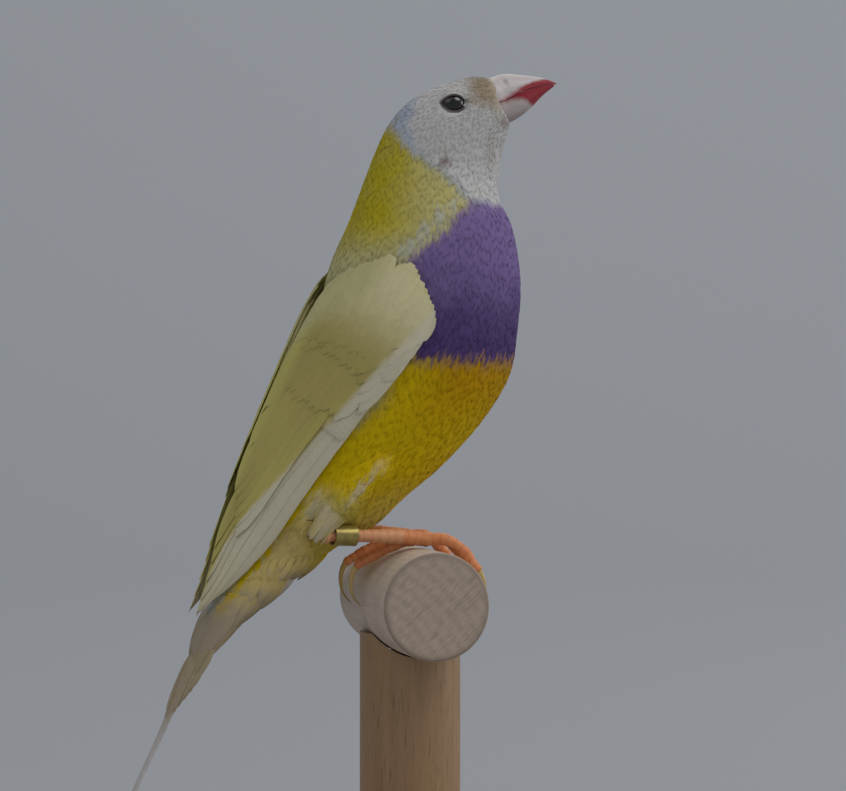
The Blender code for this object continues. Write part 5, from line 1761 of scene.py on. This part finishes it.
def make_stand():
    stand = bpy.context.scene.finch.stand
    cut = [(radius, 0.0) for radius in (0.01, 2.0, 4.0, 6.0, 7.2, 7.8)]
    for turn in np.linspace(0, math.pi / 2, 6):
        cut.append((PERCH_RADIUS - 0.45 * (1 - math.sin(turn)), 0.45 * (1 - math.cos(turn))))
    profile = [(r, PERCH_RIGHT_END + depth) for r, depth in cut]
    profile += [(r, PERCH_LEFT_END - depth) for r, depth in reversed(cut)]
    points, faces = lathe(profile, "Y")
    reach = np.hypot(points[:, 0], points[:, 2])
    depth = np.minimum(points[:, 1] - PERCH_RIGHT_END, PERCH_LEFT_END - points[:, 1])
    on_end = np.clip((0.35 - depth) / 0.2, 0, 1)
    rim = np.clip((reach - 7.6) / 0.7, 0, 1) * on_end
    wobble = 0.05 * np.sin(points[:, 1] * 0.9) + 0.03 * uneven(points, 9.0)
    scale = 1 - 0.004 * np.clip(wobble * 4, 0, 1)
    points = points * np.stack([scale, np.ones(len(scale)), scale], axis=1)
    perch = add_piece("perch_dowel", points, faces, perch_finish(stand),
                      {"end": on_end, "rim": rim}, 50.0)
    finish_piece(perch, "perch_wood", "perch")
    post = frame["nodes"]["stand_post"]
    post.data.materials.clear()
    post.data.materials.append(beech_finish("post_beech", tuple(stand.beech),
                                            (620.0, 620.0, 34.0)))
    edge = [(0.01, 0.0), (30.0, 0.0), (38.6, 0.0)]
    for turn in np.linspace(0, math.pi / 2, 5):
        edge.append((BASE_RADIUS - 1.2 * (1 - math.sin(turn)), 1.2 * (1 - math.cos(turn))))
    for turn in np.linspace(0, math.pi / 2, 9):
        edge.append((BASE_RADIUS - 2.0 * (1 - math.cos(turn)),
                     BASE_THICKNESS - 2.0 * (1 - math.sin(turn))))
    edge += [(radius, BASE_THICKNESS) for radius in (32.0, 20.0, 8.0, 0.01)]
    base = add_piece("base_disc", *lathe([(r, h - PERCH_HEIGHT) for r, h in edge], "Z"),
                     beech_finish("base_beech", tuple(stand.beech), (30.0, 420.0, 420.0)),
                     None, 50.0)
    finish_piece(base, "stand_wood", "stand_base")


def make_stage():
    stage = bpy.context.scene.finch.stage
    steps = 96
    profile = [(0.0005, 0.0), (0.15, 0.0), (0.4, 0.0), (BACKDROP_FLOOR, 0.0)]
    for turn in np.linspace(0.15, math.pi / 2, 14):
        profile.append((BACKDROP_FLOOR + BACKDROP_BEND * math.sin(turn),
                        BACKDROP_BEND * (1 - math.cos(turn))))
    profile += [(1.3, 0.8), (1.3, 1.25)]
    turns = circle(steps)
    points = np.concatenate([np.stack([r * np.cos(turns), r * np.sin(turns), h + 0 * turns],
                                      axis=-1) for r, h in profile])
    faces = ring_faces(len(profile), steps)
    faces.append(tuple(range(steps)))
    mesh = bpy.data.meshes.new("backdrop")
    mesh.from_pydata((points - (0.0, 0.0, 0.0004)).tolist(), [], faces)
    mesh.materials.append(backdrop_finish(stage))
    mesh.shade_smooth()
    backdrop = link(bpy.data.objects.new("backdrop", mesh))
    for name, place, size, share, tint in LIGHTS:
        lamp = bpy.data.lights.new(name, "AREA")
        lamp.shape, lamp.size = "DISK", size
        lamp.energy, lamp.color = stage.key_power * share, tint
        holder = link(bpy.data.objects.new(name, lamp))
        holder.location = place
        aim = Vector(LIGHT_AIM) - Vector(place)
        holder.rotation_euler = aim.to_track_quat("-Z", "Y").to_euler()
    world = bpy.data.worlds.new("soft_room")
    world.use_nodes = True
    sky = world.node_tree.nodes["Background"]
    sky.inputs["Color"].default_value = (1.0, 0.98, 0.965, 1.0)
    sky.inputs["Strength"].default_value = SKY_STRENGTH
    bpy.context.scene.world = world
    bpy.context.scene.view_settings.view_transform = "Standard"
    camera = link(bpy.data.objects.new("camera", bpy.data.cameras.new("camera")))
    turn = math.radians(CAMERA_TURN)
    ahead = Vector((-math.sin(turn), math.cos(turn), 0.0))
    right = Vector((math.cos(turn), math.sin(turn), 0.0))
    camera.location = (-ahead * stage.distance + right * CAMERA_RIGHT
                       + Vector((0.0, 0.0, CAMERA_HEIGHT)))
    camera.rotation_euler = (math.radians(90), 0.0, turn)
    camera.data.sensor_width = 36.0
    camera.data.lens = stage.lens
    camera.data.clip_start = 0.01
    bpy.context.scene.camera = camera


class FINCH_OT_stage(Operator):
    """Set the backdrop, the lights and the camera"""
    bl_idname = "finch.stage"
    bl_label = "Stage"

    def execute(self, context):
        make_stage()
        return {"FINISHED"}


class FINCH_OT_plumage(Operator):
    """Make the skin of the head and body and the small feathers on it"""
    bl_idname = "finch.plumage"
    bl_label = "Skin and coat"

    def execute(self, context):
        skin = make_skin()
        sink_skin(skin)
        chart_skin(skin)
        skin.data.materials.append(skin_finish())
        skin.data.shade_smooth()
        make_coat(skin)
        for spare in ("lie", "size", "station", "front", "thigh", "bare", "unwrap",
                      "tip_marking"):
            skin.data.attributes.remove(skin.data.attributes[spare])
        finish_piece(skin, "face", "head", "neck", "torso", "tail_coverts", "thigh_left",
                     "thigh_right")
        make_long_coverts()
        make_ankle_tufts()
        return {"FINISHED"}


class FINCH_OT_wings(Operator):
    """Make every tier of feathers of both folded wings"""
    bl_idname = "finch.wings"
    bl_label = "Wings"

    def execute(self, context):
        make_wings()
        return {"FINISHED"}


class FINCH_OT_tail(Operator):
    """Make the twelve tail feathers with their two long pins"""
    bl_idname = "finch.tail"
    bl_label = "Tail"

    def execute(self, context):
        make_tail()
        return {"FINISHED"}


class FINCH_OT_bill(Operator):
    """Make both halves of the bill"""
    bl_idname = "finch.bill"
    bl_label = "Bill"

    def execute(self, context):
        make_bill()
        return {"FINISHED"}


class FINCH_OT_eyes(Operator):
    """Make the eyes and their lids"""
    bl_idname = "finch.eyes"
    bl_label = "Eyes and lids"

    def execute(self, context):
        make_eyes()
        return {"FINISHED"}


class FINCH_OT_legs(Operator):
    """Make the legs, toes, claws and the plain leg ring"""
    bl_idname = "finch.legs"
    bl_label = "Legs and ring"

    def execute(self, context):
        make_legs()
        make_ring()
        return {"FINISHED"}


class FINCH_OT_stand(Operator):
    """Make the perch and the base, and give the post its beech finish"""
    bl_idname = "finch.stand"
    bl_label = "Perch and stand"

    def execute(self, context):
        make_stand()
        return {"FINISHED"}


OPERATORS = (FINCH_OT_stage, FINCH_OT_plumage, FINCH_OT_wings, FINCH_OT_tail, FINCH_OT_bill,
             FINCH_OT_eyes, FINCH_OT_legs, FINCH_OT_stand)


class FINCH_PT_parts(Panel):
    """Lists the finch's pieces"""
    bl_label = "Finch"
    bl_idname = "FINCH_PT_parts"
    bl_space_type = "VIEW_3D"
    bl_region_type = "UI"
    bl_category = "Finch"

    def draw(self, context):
        for operator in OPERATORS:
            self.layout.operator(operator.bl_idname)
        settings = context.scene.finch
        for group in (settings.coat, settings.wing, settings.bare, settings.stand,
                      settings.stage):
            box = self.layout.box()
            for label in group.bl_rna.properties.keys():
                if label not in ("rna_type", "name"):
                    box.prop(group, label)


CLASSES = (FinchCoatSettings, FinchWingSettings, FinchBareSettings, FinchStandSettings,
           FinchStageSettings, FinchSettings, *OPERATORS, FINCH_PT_parts)


def register():
    for made in CLASSES:
        bpy.utils.register_class(made)
    bpy.types.Scene.finch = PointerProperty(type=FinchSettings)


def unregister():
    del bpy.types.Scene.finch
    for made in reversed(CLASSES):
        bpy.utils.unregister_class(made)


def main():
    register()
    for operator in OPERATORS:
        group, action = operator.bl_idname.split(".")
        getattr(getattr(bpy.ops, group), action)()


if __name__ == "__main__":
    main()
